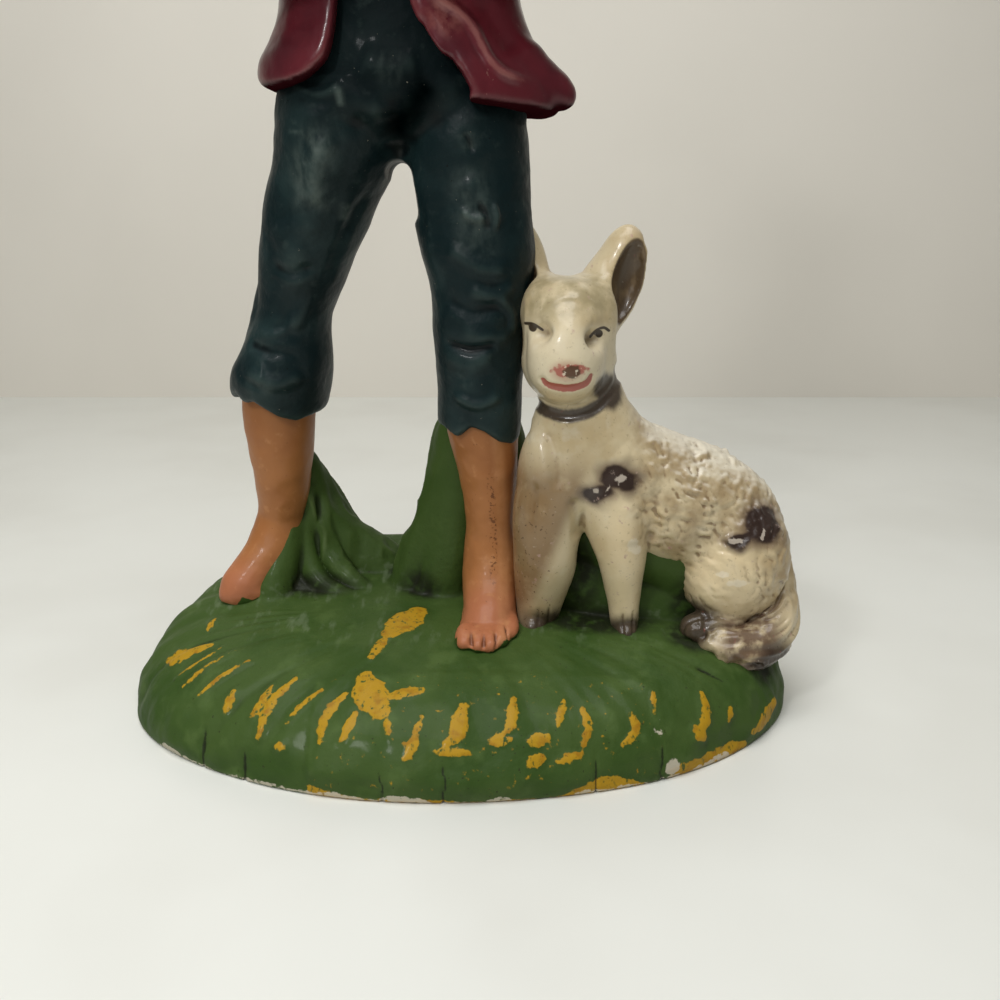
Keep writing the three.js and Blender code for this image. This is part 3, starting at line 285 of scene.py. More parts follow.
def span_to(points, path):
    """Distance from each point to a path, and how far along it is, from 0 to 1."""
    rows = np.array(path, float)
    best = np.full(len(points), np.inf)
    place = np.zeros(len(points))
    lengths = np.linalg.norm(np.diff(rows, axis=0), axis=1)
    starts = np.concatenate([[0], np.cumsum(lengths)])
    for k, (start, end) in enumerate(zip(rows, rows[1:])):
        along = end - start
        share = np.clip((points - start) @ along / max(along @ along, 1e-9), 0, 1)
        away = np.linalg.norm(points - start - share[:, None] * along, axis=1)
        closer = away < best
        best = np.where(closer, away, best)
        place = np.where(closer, (starts[k] + share * lengths[k]) / starts[-1], place)
    return best, place


def ridge(points, path, width):
    """1 on the path, falling to 0 at half the width from it and at its ends."""
    away, along = span_to(points, curve_through(path))
    ends = rise(np.minimum(along, 1 - along), -0.02, 0.2)
    return ends * (1 - rise(away, 0, width / 2))


def pressed(points, marks):
    """Height of folds and grooves given as (path, width, height)."""
    return sum(height * ridge(points, path, width) for path, width, height in marks)


def apart(points, middle, half=1.0):
    """Distance from a middle, counted in half-sizes."""
    return np.linalg.norm((points - np.array(middle)) / half, axis=1)


def blots(points, marks, near, far):
    """1 in blots given as (middle, half-sizes), falling to 0 between the near and the far distance."""
    return np.max([1 - rise(apart(points, *mark), near, far) for mark in marks], axis=0)


def stray(points, size, shift=0):
    """Unevenness in three directions."""
    return np.stack([noise(points, size, shift + k) for k in range(3)], 1)


def within(reach):
    """1 inside a border and 0 outside it, where reach is the distance to the border from inside."""
    return np.clip(reach + 0.5, 0, 1)


def front_of(points):
    """Points as seen from the front, (x, z)."""
    return points[:, [0, 2]]


def leaning(degrees):
    """Directions along and across a line that leans, as seen from the front."""
    lean = math.radians(degrees)
    return np.array([[math.cos(lean), math.sin(lean)], [-math.sin(lean), math.cos(lean)]])


def mirrored(side, *stations):
    """Stations given from the middle of the figure outwards, on its left (1) or right (-1)."""
    return [(MID_X + side * out, *rest) for out, *rest in stations]


class Skin:
    """The tooled surface of one piece: points, faces and paint masks."""

    def __init__(self, clay):
        self.points, self.faces = skin_of(clay)
        self.points += 0.5 * (self.around() - self.points)
        self.masks = {}

    def around(self, values=None):
        """Mean over the faces that meet in each point."""
        values = self.points if values is None else values
        flat = values.reshape(len(values), -1)
        middle = flat[self.faces].mean(1)
        count = np.bincount(self.faces.ravel(), minlength=len(flat))
        sums = [np.bincount(self.faces.ravel(), np.repeat(middle[:, k], 4), len(flat))
                for k in range(flat.shape[1])]
        return (np.stack(sums, 1) / np.maximum(count, 1)[:, None]).reshape(values.shape)

    def normals(self):
        corner = self.points[self.faces]
        facing = np.cross(corner[:, 2] - corner[:, 0], corner[:, 3] - corner[:, 1])
        facing = np.repeat(facing, 4, axis=0)
        sums = [np.bincount(self.faces.ravel(), facing[:, k], len(self.points)) for k in range(3)]
        total = np.stack(sums, 1)
        return total / np.maximum(np.linalg.norm(total, axis=1, keepdims=True), 1e-9)

    def tool(self, height):
        """Raises the surface by the given height, or presses it in where negative."""
        self.points += self.normals() * np.asarray(height)[:, None]

    def hollows(self, rounds=3):
        """Above 0 in hollows, below 0 on ridges, about -1 to 1."""
        normals = self.normals()
        depth = np.einsum("ij,ij->i", self.around() - self.points, normals)
        for _ in range(rounds):
            depth = self.around(depth)
        return np.clip(depth / 0.05, -1, 1)

    def drop(self, unwanted):
        """Leaves out the faces whose points are all unwanted."""
        kept = self.faces[~unwanted[self.faces].all(1)]
        used = np.unique(kept)
        renumber = np.full(len(self.points), -1)
        renumber[used] = np.arange(len(used))
        self.points = self.points[used]
        self.faces = renumber[kept]
        self.masks = {name: values[used] for name, values in self.masks.items()}

    def piece(self, name, slot, material, *nodes):
        mesh = bpy.data.meshes.new(name)
        mesh.vertices.add(len(self.points))
        mesh.vertices.foreach_set("co", (self.points * MM).astype(np.float32).ravel())
        mesh.loops.add(self.faces.size)
        mesh.loops.foreach_set("vertex_index", self.faces.astype(np.int32).ravel())
        mesh.polygons.add(len(self.faces))
        mesh.polygons.foreach_set("loop_start", np.arange(0, self.faces.size, 4, dtype=np.int32))
        mesh.update(calc_edges=True)
        mesh.polygons.foreach_set("use_smooth", np.ones(len(self.faces), bool))
        for mask, values in self.masks.items():
            layer = mesh.attributes.new(mask, "FLOAT", "POINT")
            layer.data.foreach_set("value", values.astype(np.float32))
        mesh.validate()
        mesh.materials.append(material)
        made = bpy.data.objects.new(name, mesh)
        bpy.context.scene.collection.objects.link(made)
        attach(made, "root")
        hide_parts(*nodes)


def tint(red, green, blue):
    """Colour from 0 to 255 as on a screen, turned into light."""
    shares = [value / 255 for value in (red, green, blue)]
    return tuple(s / 12.92 if s <= 0.04045 else ((s + 0.055) / 1.055) ** 2.4 for s in shares) + (1,)


class Paint:
    """One painted surface: colours laid over each other by masks and unevenness."""

    def __init__(self, name, colour, roughness, varnish=0.0, shine=0.3):
        self.material = bpy.data.materials.new(name)
        self.material.use_nodes = True
        self.tree = self.material.node_tree
        self.shader = self.tree.nodes["Principled BSDF"]
        self.place = self.add("TexCoord").outputs["Object"]
        self.colour = self.add("RGB").outputs[0]
        self.colour.default_value = tint(*colour)
        self.roughness = self.add("Value").outputs[0]
        self.roughness.default_value = roughness
        self.shader.inputs["Specular IOR Level"].default_value = shine
        self.shader.inputs["Coat Weight"].default_value = varnish
        self.shader.inputs["Coat Roughness"].default_value = 0.12
        self.bumps = []

    def add(self, kind):
        return self.tree.nodes.new("ShaderNode" + kind)

    def feed(self, socket, value):
        if isinstance(value, (int, float, tuple)):
            socket.default_value = value
        else:
            self.tree.links.new(value, socket)

    def math(self, kind, a, b=0.0):
        made = self.add("Math")
        made.operation = kind
        self.feed(made.inputs[0], a)
        self.feed(made.inputs[1], b)
        return made.outputs[0]

    def times(self, a, b):
        return self.math("MULTIPLY", a, b)

    def plus(self, a, b):
        return self.math("ADD", a, b)

    def mask(self, name):
        made = self.add("Attribute")
        made.attribute_name = name
        return made.outputs["Fac"]

    def grain(self, size, detail=3.0, shift=0.0, stretch=(1, 1, 1)):
        """Unevenness from 0 to 1 with lumps of the given size."""
        spread = self.add("Mapping")
        spread.inputs["Scale"].default_value = stretch
        spread.inputs["Location"].default_value = (shift, shift * 0.7, shift * 0.3)
        self.feed(spread.inputs["Vector"], self.place)
        made = self.add("TexNoise")
        made.inputs["Scale"].default_value = 1 / (size * MM)
        made.inputs["Detail"].default_value = detail
        self.feed(made.inputs["Vector"], spread.outputs[0])
        return made.outputs["Fac"]

    def step(self, value, low, high):
        """0 below low, 1 above high, smooth between."""
        made = self.add("MapRange")
        made.interpolation_type = "SMOOTHSTEP"
        self.feed(made.inputs["Value"], value)
        made.inputs["From Min"].default_value = low
        made.inputs["From Max"].default_value = high
        return made.outputs["Result"]

    def ragged(self, mask, size, amount, edge=0.12):
        """A mask whose border is broken up by unevenness."""
        fray = self.times(self.math("SUBTRACT", self.grain(size), 0.5), amount)
        return self.step(self.plus(mask, fray), 0.5 - edge, 0.5 + edge)

    def clouded(self, name, amount, low, high, *grain):
        """A mask with a wide, cloudy border; grain is its size, detail, shift and stretch."""
        cloud = self.times(self.grain(*grain), amount)
        return self.step(self.plus(self.mask(name), cloud), low, high)

    def lay(self, colour, where, strength):
        """Lays a colour over what is there."""
        made = self.add("Mix")
        made.data_type = "RGBA"
        self.feed(made.inputs["Factor"], self.times(where, strength))
        self.feed(made.inputs[6], self.colour)
        self.feed(made.inputs[7], tint(*colour))
        self.colour = made.outputs[2]

    def coat(self, colour, strength, mask=None, between=None, frayed=None, speckle=None):
        """Lays a colour within a mask, which may be stepped between two levels or frayed at its border.

        Speckle breaks it up: size, the levels where it starts and is full, detail, shift and stretch.
        """
        where = self.mask(mask) if mask else None
        if frayed:
            where = self.ragged(where, *frayed)
        if between:
            where = self.step(where, *between)
        if speckle:
            size, low, high, *rest = speckle
            spots = self.step(self.grain(size, *rest), low, high)
            where = self.times(where, spots) if mask else spots
        self.lay(colour, where, strength)

    def dull(self, where, amount):
        self.roughness = self.plus(self.roughness, self.times(where, amount))

    def bare(self, where):
        """No varnish where the mask is."""
        for name in ("Coat Weight", "Specular IOR Level"):
            socket = self.shader.inputs[name]
            kept = self.math("SUBTRACT", 1.0, where)
            self.feed(socket, self.times(kept, socket.default_value))

    def relief(self, depth, *grain):
        """Fine relief with a depth in millimetres; grain is its size, detail and shift."""
        self.bumps.append((self.grain(*grain), depth))

    def done(self):
        self.feed(self.shader.inputs["Base Color"], self.colour)
        self.feed(self.shader.inputs["Roughness"], self.roughness)
        normal = None
        for height, depth in self.bumps:
            made = self.add("Bump")
            made.inputs["Distance"].default_value = depth * MM
            self.feed(made.inputs["Height"], height)
            if normal is not None:
                self.feed(made.inputs["Normal"], normal)
            normal = made.outputs[0]
        if normal is not None:
            self.feed(self.shader.inputs["Normal"], normal)
        return self.material


# Base: the mound and the grass that stands behind the legs and under the dog
def mound_share(x, y):
    """How far out a place lies, 1 at the rim, and its angle."""
    angle = np.arctan2(y * 2 / BASE_DEPTH, x * 2 / BASE_WIDTH)
    uneven = 0.988 + 0.008 * np.sin(3 * angle + 0.6) + 0.004 * np.sin(7 * angle + 2)
    uneven = uneven + RIGHT_SPREAD * (0.5 - 0.5 * np.cos(angle))
    return np.hypot(x * 2 / BASE_WIDTH, y * 2 / BASE_DEPTH) / uneven, angle


def mound_shape(share, angle):
    """Height of the crown and how square the dome falls off, towards a place on the mound."""
    hump = np.clip(np.cos(angle - math.radians(HUMP_TURN)), 0, 1) ** 4
    crown = CROWN_HEIGHT + BACK_RISE * share * np.sin(angle) + HUMP_RISE * share**2 * hump
    right_side = 0.5 - 0.5 * np.cos(angle)
    steep = SQUARENESS + BACK_SQUARENESS * np.sin(angle) + HUMP_SQUARENESS * hump
    return crown, steep - RIGHT_SLACKNESS * right_side**2


def ground(x, y):
    share, angle = mound_share(np.asarray(x, float), np.asarray(y, float))
    crown, steep = mound_shape(share, angle)
    return crown * np.clip(1 - share**steep, 0, 1) ** DOME_POWER


def on_ground(x, y, above=0.0):
    """A place on the mound, or above it."""
    return (x, y, float(ground(x, y)) + above)


# Brush dabs of yellow: plan points along the stroke, and its width
DABS = (
    (((-71, -10), (-65, -11.5), (-60.5, -11.5)), 2.9),
    (((-71.4, -10.4), (-68.1, -11.7), (-65.5, -12)), 4.8),
    (((-67, -18.5), (-62.5, -16.5), (-57.5, -13.5)), 1.1),
    (((-64.5, -22), (-60, -19.5), (-53.5, -16)), 1.1),
    (((-60, -26), (-55, -23), (-49.5, -20)), 1.0),
    (((-63, -5), (-62, -1.5)), 1.4),
    (((-52.5, -32), (-51, -28)), 1.9),
    (((-45.5, -35), (-43.5, -32), (-42, -29)), 1.9),
    (((-43.5, -38.5), (-41.5, -33), (-37, -28)), 2.1),
    (((-37.5, -38), (-35.5, -35.5), (-30.5, -32)), 1.5),
    (((-29.5, -42.5), (-29, -38.5), (-25, -33.5)), 2.4),
    (((-21, -30), (-19.5, -34), (-16.5, -38.5)), 7.4),
    (((-24.5, -43), (-22, -38.5)), 2.2),
    (((-15, -35.5), (-8, -34.5)), 3.1),
    (((-15, -40), (-14.5, -44)), 1.6),
    (((-17, -13.6), (-14.2, -8.7), (-11.2, -3.4)), 8.4),
    (((-20.2, -23.6), (-19.2, -20), (-17.6, -15)), 2.6),
    (((-11, -47), (-9.5, -45.5), (-7.5, -40.5)), 2.3),
    (((-2, -45), (0, -43.5), (1, -38.5)), 3.7),
    (((-4.5, -46), (2.5, -46)), 2.1),
    (((9.5, -43.5), (11.5, -41.5), (12, -36.5)), 2.3),
    (((7, -44.5), (11, -44)), 2.5),
    (((21.5, -41), (23, -36)), 1.8),
    (((15.5, -44), (19, -43)), 3.1),
    (((15, -46.5), (18.5, -45.5)), 2.9),
    (((27, -43), (28, -40.5), (27, -37.5)), 2.0),
    (((21.5, -45.5), (26.5, -44)), 2.0),
    (((35.5, -41.5), (38.5, -39), (37.5, -36.5)), 1.8),
    (((43, -35.5), (43, -31.5)), 1.2),
    (((54.5, -28.5), (55, -32), (53, -34.5)), 2.4),
    (((52.5, -34.5), (54, -34.5)), 3.7),
    (((61, -29), (61.5, -27.5)), 2.3),
    (((67.8, -25), (71.5, -20.8), (74.5, -16.5)), 4.4),
    (((-39, -41), (-37.5, -41.5)), 1.9),
)

# Dark places under the dog and at the foot of the grass, painted shade with some dirt: middle and half-sizes
SHADE_AND_DIRT = (((29.5, 2, 34), (6.5, 12, 22)), ((55, 0, 28), (6, 14, 12)), ((33, -8, 22), (18, 7, 6)),
        ((55, -12, 21), (8, 7, 5)), ((74, -14, 15), (8, 6, 6)), ((-38, 11, 24), (14, 7, 6)),
        ((-9, 9, 25), (9, 6, 8)))

# Drying cracks in the rim: x of each, and how high it runs; and a scratch beside the dog's tail
CRACKS = ((-57, 10), (-46.5, 8), (-16, 8.5), (-2.5, 10), (29.5, 9), (44.5, 9.5))
SCRATCH = ((53.7, -22.2, 18.6), (57, -22.8, 17), (62, -23.4, 14.2))

# Spots where the chalk under the paint shows: a chip in the rim and a dry streak above it
RIM_CHIP = (46.7, -39.6, 3)
DRY_STREAK = ((43.3, -37, 9.5), (1, 1, 1 / 0.7))

# Height of the grass blades, and how far ridges and stalks blend into the mound
BLADE_HEIGHT = 0.75
GRASS_BLEND = 3.4
STALK_BLEND = 0.8

# Grass behind the legs: ridges through (x, y, z, radius)
GRASS_RIDGES = (
    ((-43.5, 23, 57, 3), (-41.8, 23, 47, 3.2), (-37, 23.5, 38, 4), (-30.5, 24, 31, 5), (-22, 24, 26, 5)),
    ((-47, 26, 50, 4), (-46, 28, 38, 5), (-44, 30, 26, 6)),
    ((-42.5, 27, 50, 4), (-39, 29, 38, 5.5), (-34, 31, 26, 6.5)),
    ((-3.6, 13, 66, 2.4), (-4.6, 13, 54, 3), (-6.8, 14, 44, 3.8), (-11, 14.5, 33, 4.4), (-14, 14, 24, 4)),
    ((0, 11, 70, 4.5), (-1, 12, 52, 5), (-3.5, 11.5, 36, 5), (-5.5, 10.5, 25, 4.2)),
    ((5, 14, 70, 5), (5, 16, 52, 6), (4, 18, 36, 7), (2, 20, 24, 7)),
    ((10, 11.5, 68, 3.4), (12, 12, 50, 4.2), (14, 11, 34, 5), (16, 9, 24, 5)),
    ((30, 2, 44, 6), (40, 3, 42, 9), (52, 3, 38, 9), (60, 3, 28, 8)),
    ((27, 4, 32, 7), (40, 6, 26, 10), (56, 6, 24, 10)),
    ((-45, 17.5, 43, 2.8), (-46.6, 14.5, 35, 3.2), (-48.6, 11, 28.5, 3.2), (-50, 8.6, 24, 2.8)),
)
# Curled stalks lying on the grass behind the right leg
GRASS_STALKS = (
    ((-43, 20, 50, 2.4), (-44.8, 17, 40, 2.8), (-45.6, 15, 31, 2.8), (-44.5, 12.5, 25.5, 2.6),
     (-40, 9.5, 23, 2.2)),
    ((-40.6, 19.5, 48, 2.2), (-41.8, 16.5, 38, 2.7), (-41, 14, 30.5, 2.8), (-37.6, 11, 26, 2.6),
     (-32.5, 8.5, 23.6, 2.2), (-29, 8, 22.6, 1.6)),
    ((-38.6, 21, 46, 2), (-37.4, 18, 36.5, 2.6), (-34.2, 15, 30.2, 2.7), (-29.6, 12, 26, 2.4),
     (-25.6, 10.5, 23.6, 1.8)),
    ((-5, 10, 50, 2), (-6.2, 9.5, 38, 2.4), (-8.4, 9, 29, 2.4), (-11, 8.5, 24, 2)),
)


def make_base():
    clay = Clay((-84, -51.5, -1.3), (84, 51.5, 74), CELL)
    spans, (x, y, z) = clay.window((-99, -99, -9), (99, 99, 33))
    share, angle = mound_share(x, y)
    crown, steep = mound_shape(share, angle)
    level = (np.clip(z, 0, None) / crown) ** (1 / DOME_POWER) + share**steep - 1
    slopes = np.gradient(level, CELL)
    level = level / np.maximum(np.sqrt(sum(slope**2 for slope in slopes)), 0.01)
    clay.field[spans] = soft_max(np.clip(level, -20, 20), -z + 0 * level, 0.8)
    for limbs, blend in ((GRASS_RIDGES, GRASS_BLEND), (GRASS_STALKS, STALK_BLEND)):
        for stations in limbs:
            clay.limb(stations, soft=blend)

    skin = Skin(clay)
    points = skin.points
    x, y, z = points.T
    share, angle = mound_share(x, y)
    grass = rise(z - ground(x, y), 1.5, 6) * rise(1.02 - share, 0, 0.08)
    around = np.stack([np.cos(angle) * 60, np.sin(angle) * 60, 9 * share], 1)
    blades = noise(around, 5.2) * 0.8 + noise(around, 2.4, 2) * 0.4
    outer = rise(share, 0.3, 0.75) * rise(z, 0.5, 6)
    stems = 1 - 2 * np.abs(noise(points * (1, 1, 0.14), 3.6, 6))
    lumpy_rim = rise(share, 0.9, 1.0) * rise(z, 0.2, 3) * (1 - rise(z, 9, 16))
    skin.tool(BLADE_HEIGHT * blades * outer * (1 - grass)
              + (0.15 + 0.6 * rise(y, 8, 16)) * stems * grass
              + 0.35 * rough(points, 17, 4) * rise(z, 0, 4)
              + 0.7 * rough(points, 9, 1) * lumpy_rim)

    dabs = np.full(len(points), -9.0)
    for path, width in DABS:
        away, along = span_to(points, curve_through([on_ground(*place) for place in path]))
        full = width / 2 * (0.55 + 0.45 * rise(np.minimum(along, 1 - along), 0, 0.35))
        dabs = np.maximum(dabs, full - away)
    rim_front = rise(-y, 22, 30)
    low_band = 1.6 + 2.8 * noise(points, 13, 5) - z
    right_band = rise(x, 44, 52) * (3.6 + 3 * rise(x, 62, 74) - z)
    band = np.where(x > -32, np.maximum(low_band, right_band), -2)
    dabs = np.maximum(dabs, rim_front * band - 0.4 - 6 * (1 - rim_front))
    cracks = ridge(points, SCRATCH, 1.6)
    for x_crack, top in CRACKS:
        bend = 0.5 * noise(points, 2.5, x_crack)
        line = 1 - rise(np.abs(x - x_crack - bend), 0.05, 0.6)
        cracks = np.maximum(cracks, line * rise(-y, 25, 30) * rise(top - z, 0, 3))
    skin.tool(-0.35 * cracks + 0.5 * rise(dabs, -1.6, 0.8) * rise(z, 2, 6))
    chips = rise(1.6 + 1.6 * noise(points, 4.5, 8) - z, 0, 1.2) * rise(z, -0.2, 0.5)
    chip = 1 - rise(apart(points, RIM_CHIP), 0.6, 3.2)
    dry = 1 - rise(apart(points, *DRY_STREAK), 1, 5)
    skin.masks = {
        "dab": within(dabs / 2.4),
        "crack": cracks,
        "grass": grass,
        "shade_and_dirt": blots(points, SHADE_AND_DIRT, 0.5, 1.1),
        "dust": rise(share, 0.15, 0.3) * rise(z, 19, 22) * (1 - grass) * rise(y, -24, -8),
        "chalk": np.clip(np.maximum(chips * 0.62, np.maximum(chip, dry * 0.42)), 0, 1),
        "hollow": skin.hollows(),
    }
    skin.drop((mound_share(x, y)[0] < 1 - 2.2 * CARD_MARGIN / BASE_DEPTH) & (z < 0.4))

    paint = Paint("grass paint", (64, 86, 36), 0.5, 0.05, 0.22)
    paint.coat((46, 72, 20), 0.7, speckle=(16, 0.4, 0.65))
    paint.coat((84, 106, 54), 0.5, speckle=(7, 0.52, 0.72, 5, 3))
    paint.coat((62, 84, 34), 0.6, "grass")
    # Painted shade in the hollows and painted highlights on the ridges
    paint.coat((20, 28, 8), 0.75, "hollow", (0.08, 0.8))
    paint.coat((104, 122, 72), 0.35, "hollow", (-0.3, -1.0))
    paint.coat((116, 130, 100), 0.4, "dust", speckle=(2.4, 0.52, 0.7, 5, 11, (1, 0.3, 1)))
    # Painted shade with some dirt under the dog and where the grass meets the mound
    paint.coat((22, 24, 10), 0.88, "shade_and_dirt", speckle=(3, 0.24, 0.56, 5, 13))
    dab = paint.ragged(paint.mask("dab"), 1.6, 0.75, 0.06)
    yellow = paint.times(dab, paint.step(paint.grain(1.1, 4, 5, (1, 1, 0.45)), 0.29, 0.43))
    paint.lay((180, 139, 24), yellow, 0.95)
    paint.lay((140, 92, 14), paint.times(yellow, paint.step(paint.grain(3, shift=7), 0.5, 0.7)), 0.6)
    paint.coat((205, 196, 176), 0.85, "chalk", frayed=(1.2, 0.9, 0.08))
    paint.coat((22, 24, 10), 0.75, "crack", (0.4, 0.9))
    paint.coat((38, 32, 18), 0.7, speckle=(0.8, 0.7, 0.76, 2, 9))
    paint.dull(paint.grain(5, 4, shift=2), 0.3)
    paint.relief(0.16, 1.6, 5)
    paint.relief(0.4, 7, 4, 4)
    skin.piece("grassy_base", "grass_green", paint.done(),
               "base_mound", "right_grass_clump", "left_grass_clump", "dog_grass_clump")


# Legs: levels are (z, x, y, width, depth), feet limbs through (x, y, z, radius), toes (x, y, radius)
LEFT_LEG = ((23, 6.8, 4, 11.6, 13), (31.2, 6.7, 3.6, 11.2, 12), (40.5, 6.8, 3.9, 11.8, 13.4),
            (50.9, 6.5, 4.1, 13, 15.2), (61.1, 5.8, 3.6, 15.3, 16.6), (69, 5.2, 3, 17, 17.4),
            (79, 4.8, 2.6, 17, 17))
LEFT_FOOT = ((6.8, 4.6, 42, 4.6), (6.8, 1.2, 32, 5.4), (6.6, -4.5, 26.4, 4.7), (6.4, -11, 23.4, 4))
LEFT_SOLE = ((6.4, -8, 22.6), (6.9, 12.5, 3.2), (0, 0, 0))
LEFT_TOES = ((0.8, -21.6, 2), (3.9, -22.6, 1.7), (6.8, -22.4, 1.6), (9.5, -20, 1.5), (11.9, -16.5, 1.4))
RIGHT_LEG = ((33, -48.8, 17.4, 9.6, 11), (39, -48.3, 17.3, 10.2, 12.4), (46.3, -47.3, 17.2, 12.6, 15),
             (54.5, -46.8, 16.4, 14.4, 16.6), (62.7, -46.4, 15.4, 16.6, 17.6), (72, -46, 14.4, 18, 18.2),
             (82, -45, 13.6, 18, 18))
RIGHT_FOOT = ((-48.4, 17.2, 40, 5), (-50, 14.8, 34.5, 4.9), (-53.2, 11.8, 30, 4.6), (-56.4, 9.2, 26.8, 4),
              (-58, 7.8, 25, 3.2))
RIGHT_SOLE = ((-57, 9.2, 24.2), (4.8, 6.4, 2.6), (0, 0, -40))
RIGHT_TOES = ((-54.2, 4.8, 1.9), (-56.4, 5.6, 1.6), (-58.4, 6.9, 1.5), (-60, 8.4, 1.4), (-61.4, 10, 1.3))

# Clefts between toes: how far ahead of the toes' tips, and the height above the ground
TOE_CLEFT = ((-5, 4), (-2, 3), (1, 0.4))
TOE_LENGTH = 6
LEG_MARGIN = 14
LEG_BOX_FOOT = 16


def make_leg(name, node, levels, foot, sole, toes, turn, specks):
    """A bare leg with its foot; the toes point along the turned direction and specks run down the shin."""
    places = np.array([*(level[1:3] for level in levels), *(toe[:2] for toe in toes)])
    low, high = places.min(0) - LEG_MARGIN, places.max(0) + LEG_MARGIN
    clay = Clay((*low, LEG_BOX_FOOT), (*high, levels[-1][0] + 1), FINE)
    clay.column(levels)
    clay.limb(foot, soft=3)
    heel_x, heel_y = levels[0][1:3]
    clay.ball((heel_x + 0.14 * (heel_x - foot[-1][0]), heel_y + 3, 25.5), (4.4, 4.6, 6), soft=3)
    clay.ball(*sole, soft=2.5)
    ahead = np.array([-math.sin(math.radians(turn)), -math.cos(math.radians(turn))])
    for x, y, girth in toes:
        root = on_ground(*((x, y) - TOE_LENGTH * ahead), 1.4)
        tip = on_ground(*((x, y) - girth * ahead), 0.9)
        clay.limb(((*root, girth), (*tip, girth * 0.95)), soft=1.4, steps=2)

    skin = Skin(clay)
    points = skin.points
    x, y, z = points.T
    lift = 0.25 * rough(points, 11, turn) + 0.1 * rough(points, 4, turn + 1)
    for one, two in zip(toes, toes[1:]):
        between = (np.array(one[:2]) + np.array(two[:2])) / 2
        cleft = [on_ground(*(between + reach * ahead), above) for reach, above in TOE_CLEFT]
        lift = lift - 0.9 * ridge(points, cleft, 1.5)
    skin.tool(lift)
    shin_x = np.interp(z, *np.array(levels)[:, :2].T)
    front = rise(levels[3][2] - y, 2, 5)
    shin = (1 - rise(np.abs(x - shin_x - 0.8), 0.2, 1.7)) * front
    skin.masks = {
        "grassline": within((1.0 + 1.3 * noise(points, 2.2, 3) - z + ground(x, y)) / 3),
        "foot": rise((points[:, :2] - levels[0][1:3]) @ ahead, 4, 15) * (1 - rise(z, 28, 38)),
        "shin": specks * shin * rise(64 - z, 0, 8) * rise(z, 28, 36),
        "lit": (1 - rise(np.abs(x - shin_x - 3.2), 0.4, 2.2)) * front,
        "hollow": skin.hollows(2),
        "upper": rise(z, 50, 74),
    }

    paint = Paint(name + " paint", (174, 115, 66), 0.4, 0.12)
    paint.coat((150, 92, 48), 0.5, speckle=(11, 0.42, 0.7))
    paint.coat((182, 112, 80), 0.7, "foot")
    # Painted shadow of the trouser hem, darker towards the top of the leg
    paint.coat((144, 88, 44), 0.5, "upper")
    paint.coat((206, 150, 100), 0.35, speckle=(3, 0.58, 0.75, 4, 2))
    paint.lay((214, 158, 110), paint.times(paint.mask("lit"), paint.grain(3, 4, shift=9)), 0.6 * specks)
    # Painted shade in the hollows of the leg and foot
    paint.coat((92, 48, 24), 0.7, "hollow", (0.12, 0.8))
    paint.coat((84, 44, 18), 0.7, "shin", (0.3, 0.9), speckle=(0.8, 0.54, 0.62, 3, 4))
    paint.coat((110, 62, 34), 0.6, speckle=(0.8, 0.72, 0.76, 2, 8))
    paint.coat((54, 80, 28), 1.0, "grassline", frayed=(1.0, 0.35, 0.05))
    paint.dull(paint.grain(4, 3, shift=6), 0.2)
    paint.relief(0.1, 2.2, 4)
    skin.piece(name, "skin_paint", paint.done(), node)


# Trousers: levels are (z, x, y, width, depth), hems are (angle from +X, height)
LEFT_TROUSER = ((62, 4.2, 3, 19.4, 20), (69.8, 4.2, 2.9, 20, 20.6), (80.6, 4.4, 2.7, 20.8, 21.4),
                (92.4, 4.7, 2.6, 21.4, 21.8), (101.6, 4.8, 2.6, 23.6, 22.6), (110.5, 3.9, 3.2, 26.6, 24.4),
                (121.5, 2.4, 4.4, 27.6, 26.4), (129, 1.8, 5.4, 28.4, 28), (138, 1.4, 6.2, 27.4, 30),
                (146, -2, 6.4, 26, 29))
RIGHT_TROUSER = ((66, -45.2, 14, 18, 20), (71.1, -45.2, 14.2, 21.2, 22.6), (76.2, -45.3, 14, 24.2, 25),
                 (81.2, -44.6, 13.6, 24.8, 25.6), (86.1, -43, 13, 22.9, 24.4),
                 (93.4, -41.2, 12.4, 19.6, 22), (99.4, -39.2, 12, 19.6, 21.6),
                 (110, -35.9, 10.8, 23.2, 23.6), (121.4, -32, 9.2, 26.6, 26), (129.2, -28.4, 8, 28.4, 28),
                 (138, -25.8, 7, 30, 30), (146, -23, 6.6, 26, 29))
SEAT = ((134, -13, 8, 40, 20), (138, -13, 7.4, 53, 30), (142.8, -12.5, 7, 56.4, 33.6),
        (150, -12.3, 6.4, 51, 32), (158, -12.3, 6, 44, 30), (166, -12.3, 6, 43.4, 29.8))
LEFT_HEM = ((-180, 70.3), (-150, 70.3), (-122, 68.6), (-100, 71.2), (-84, 70.2), (-58, 67.2), (-32, 66),
            (0, 67), (60, 69), (120, 68))
RIGHT_HEM = ((-180, 76), (-160, 74.8), (-142, 76.8), (-126, 74.6), (-112, 75.4), (-84, 71.6), (-60, 70.2),
             (-44, 71), (-20, 71.6), (40, 73), (90, 74), (140, 75))

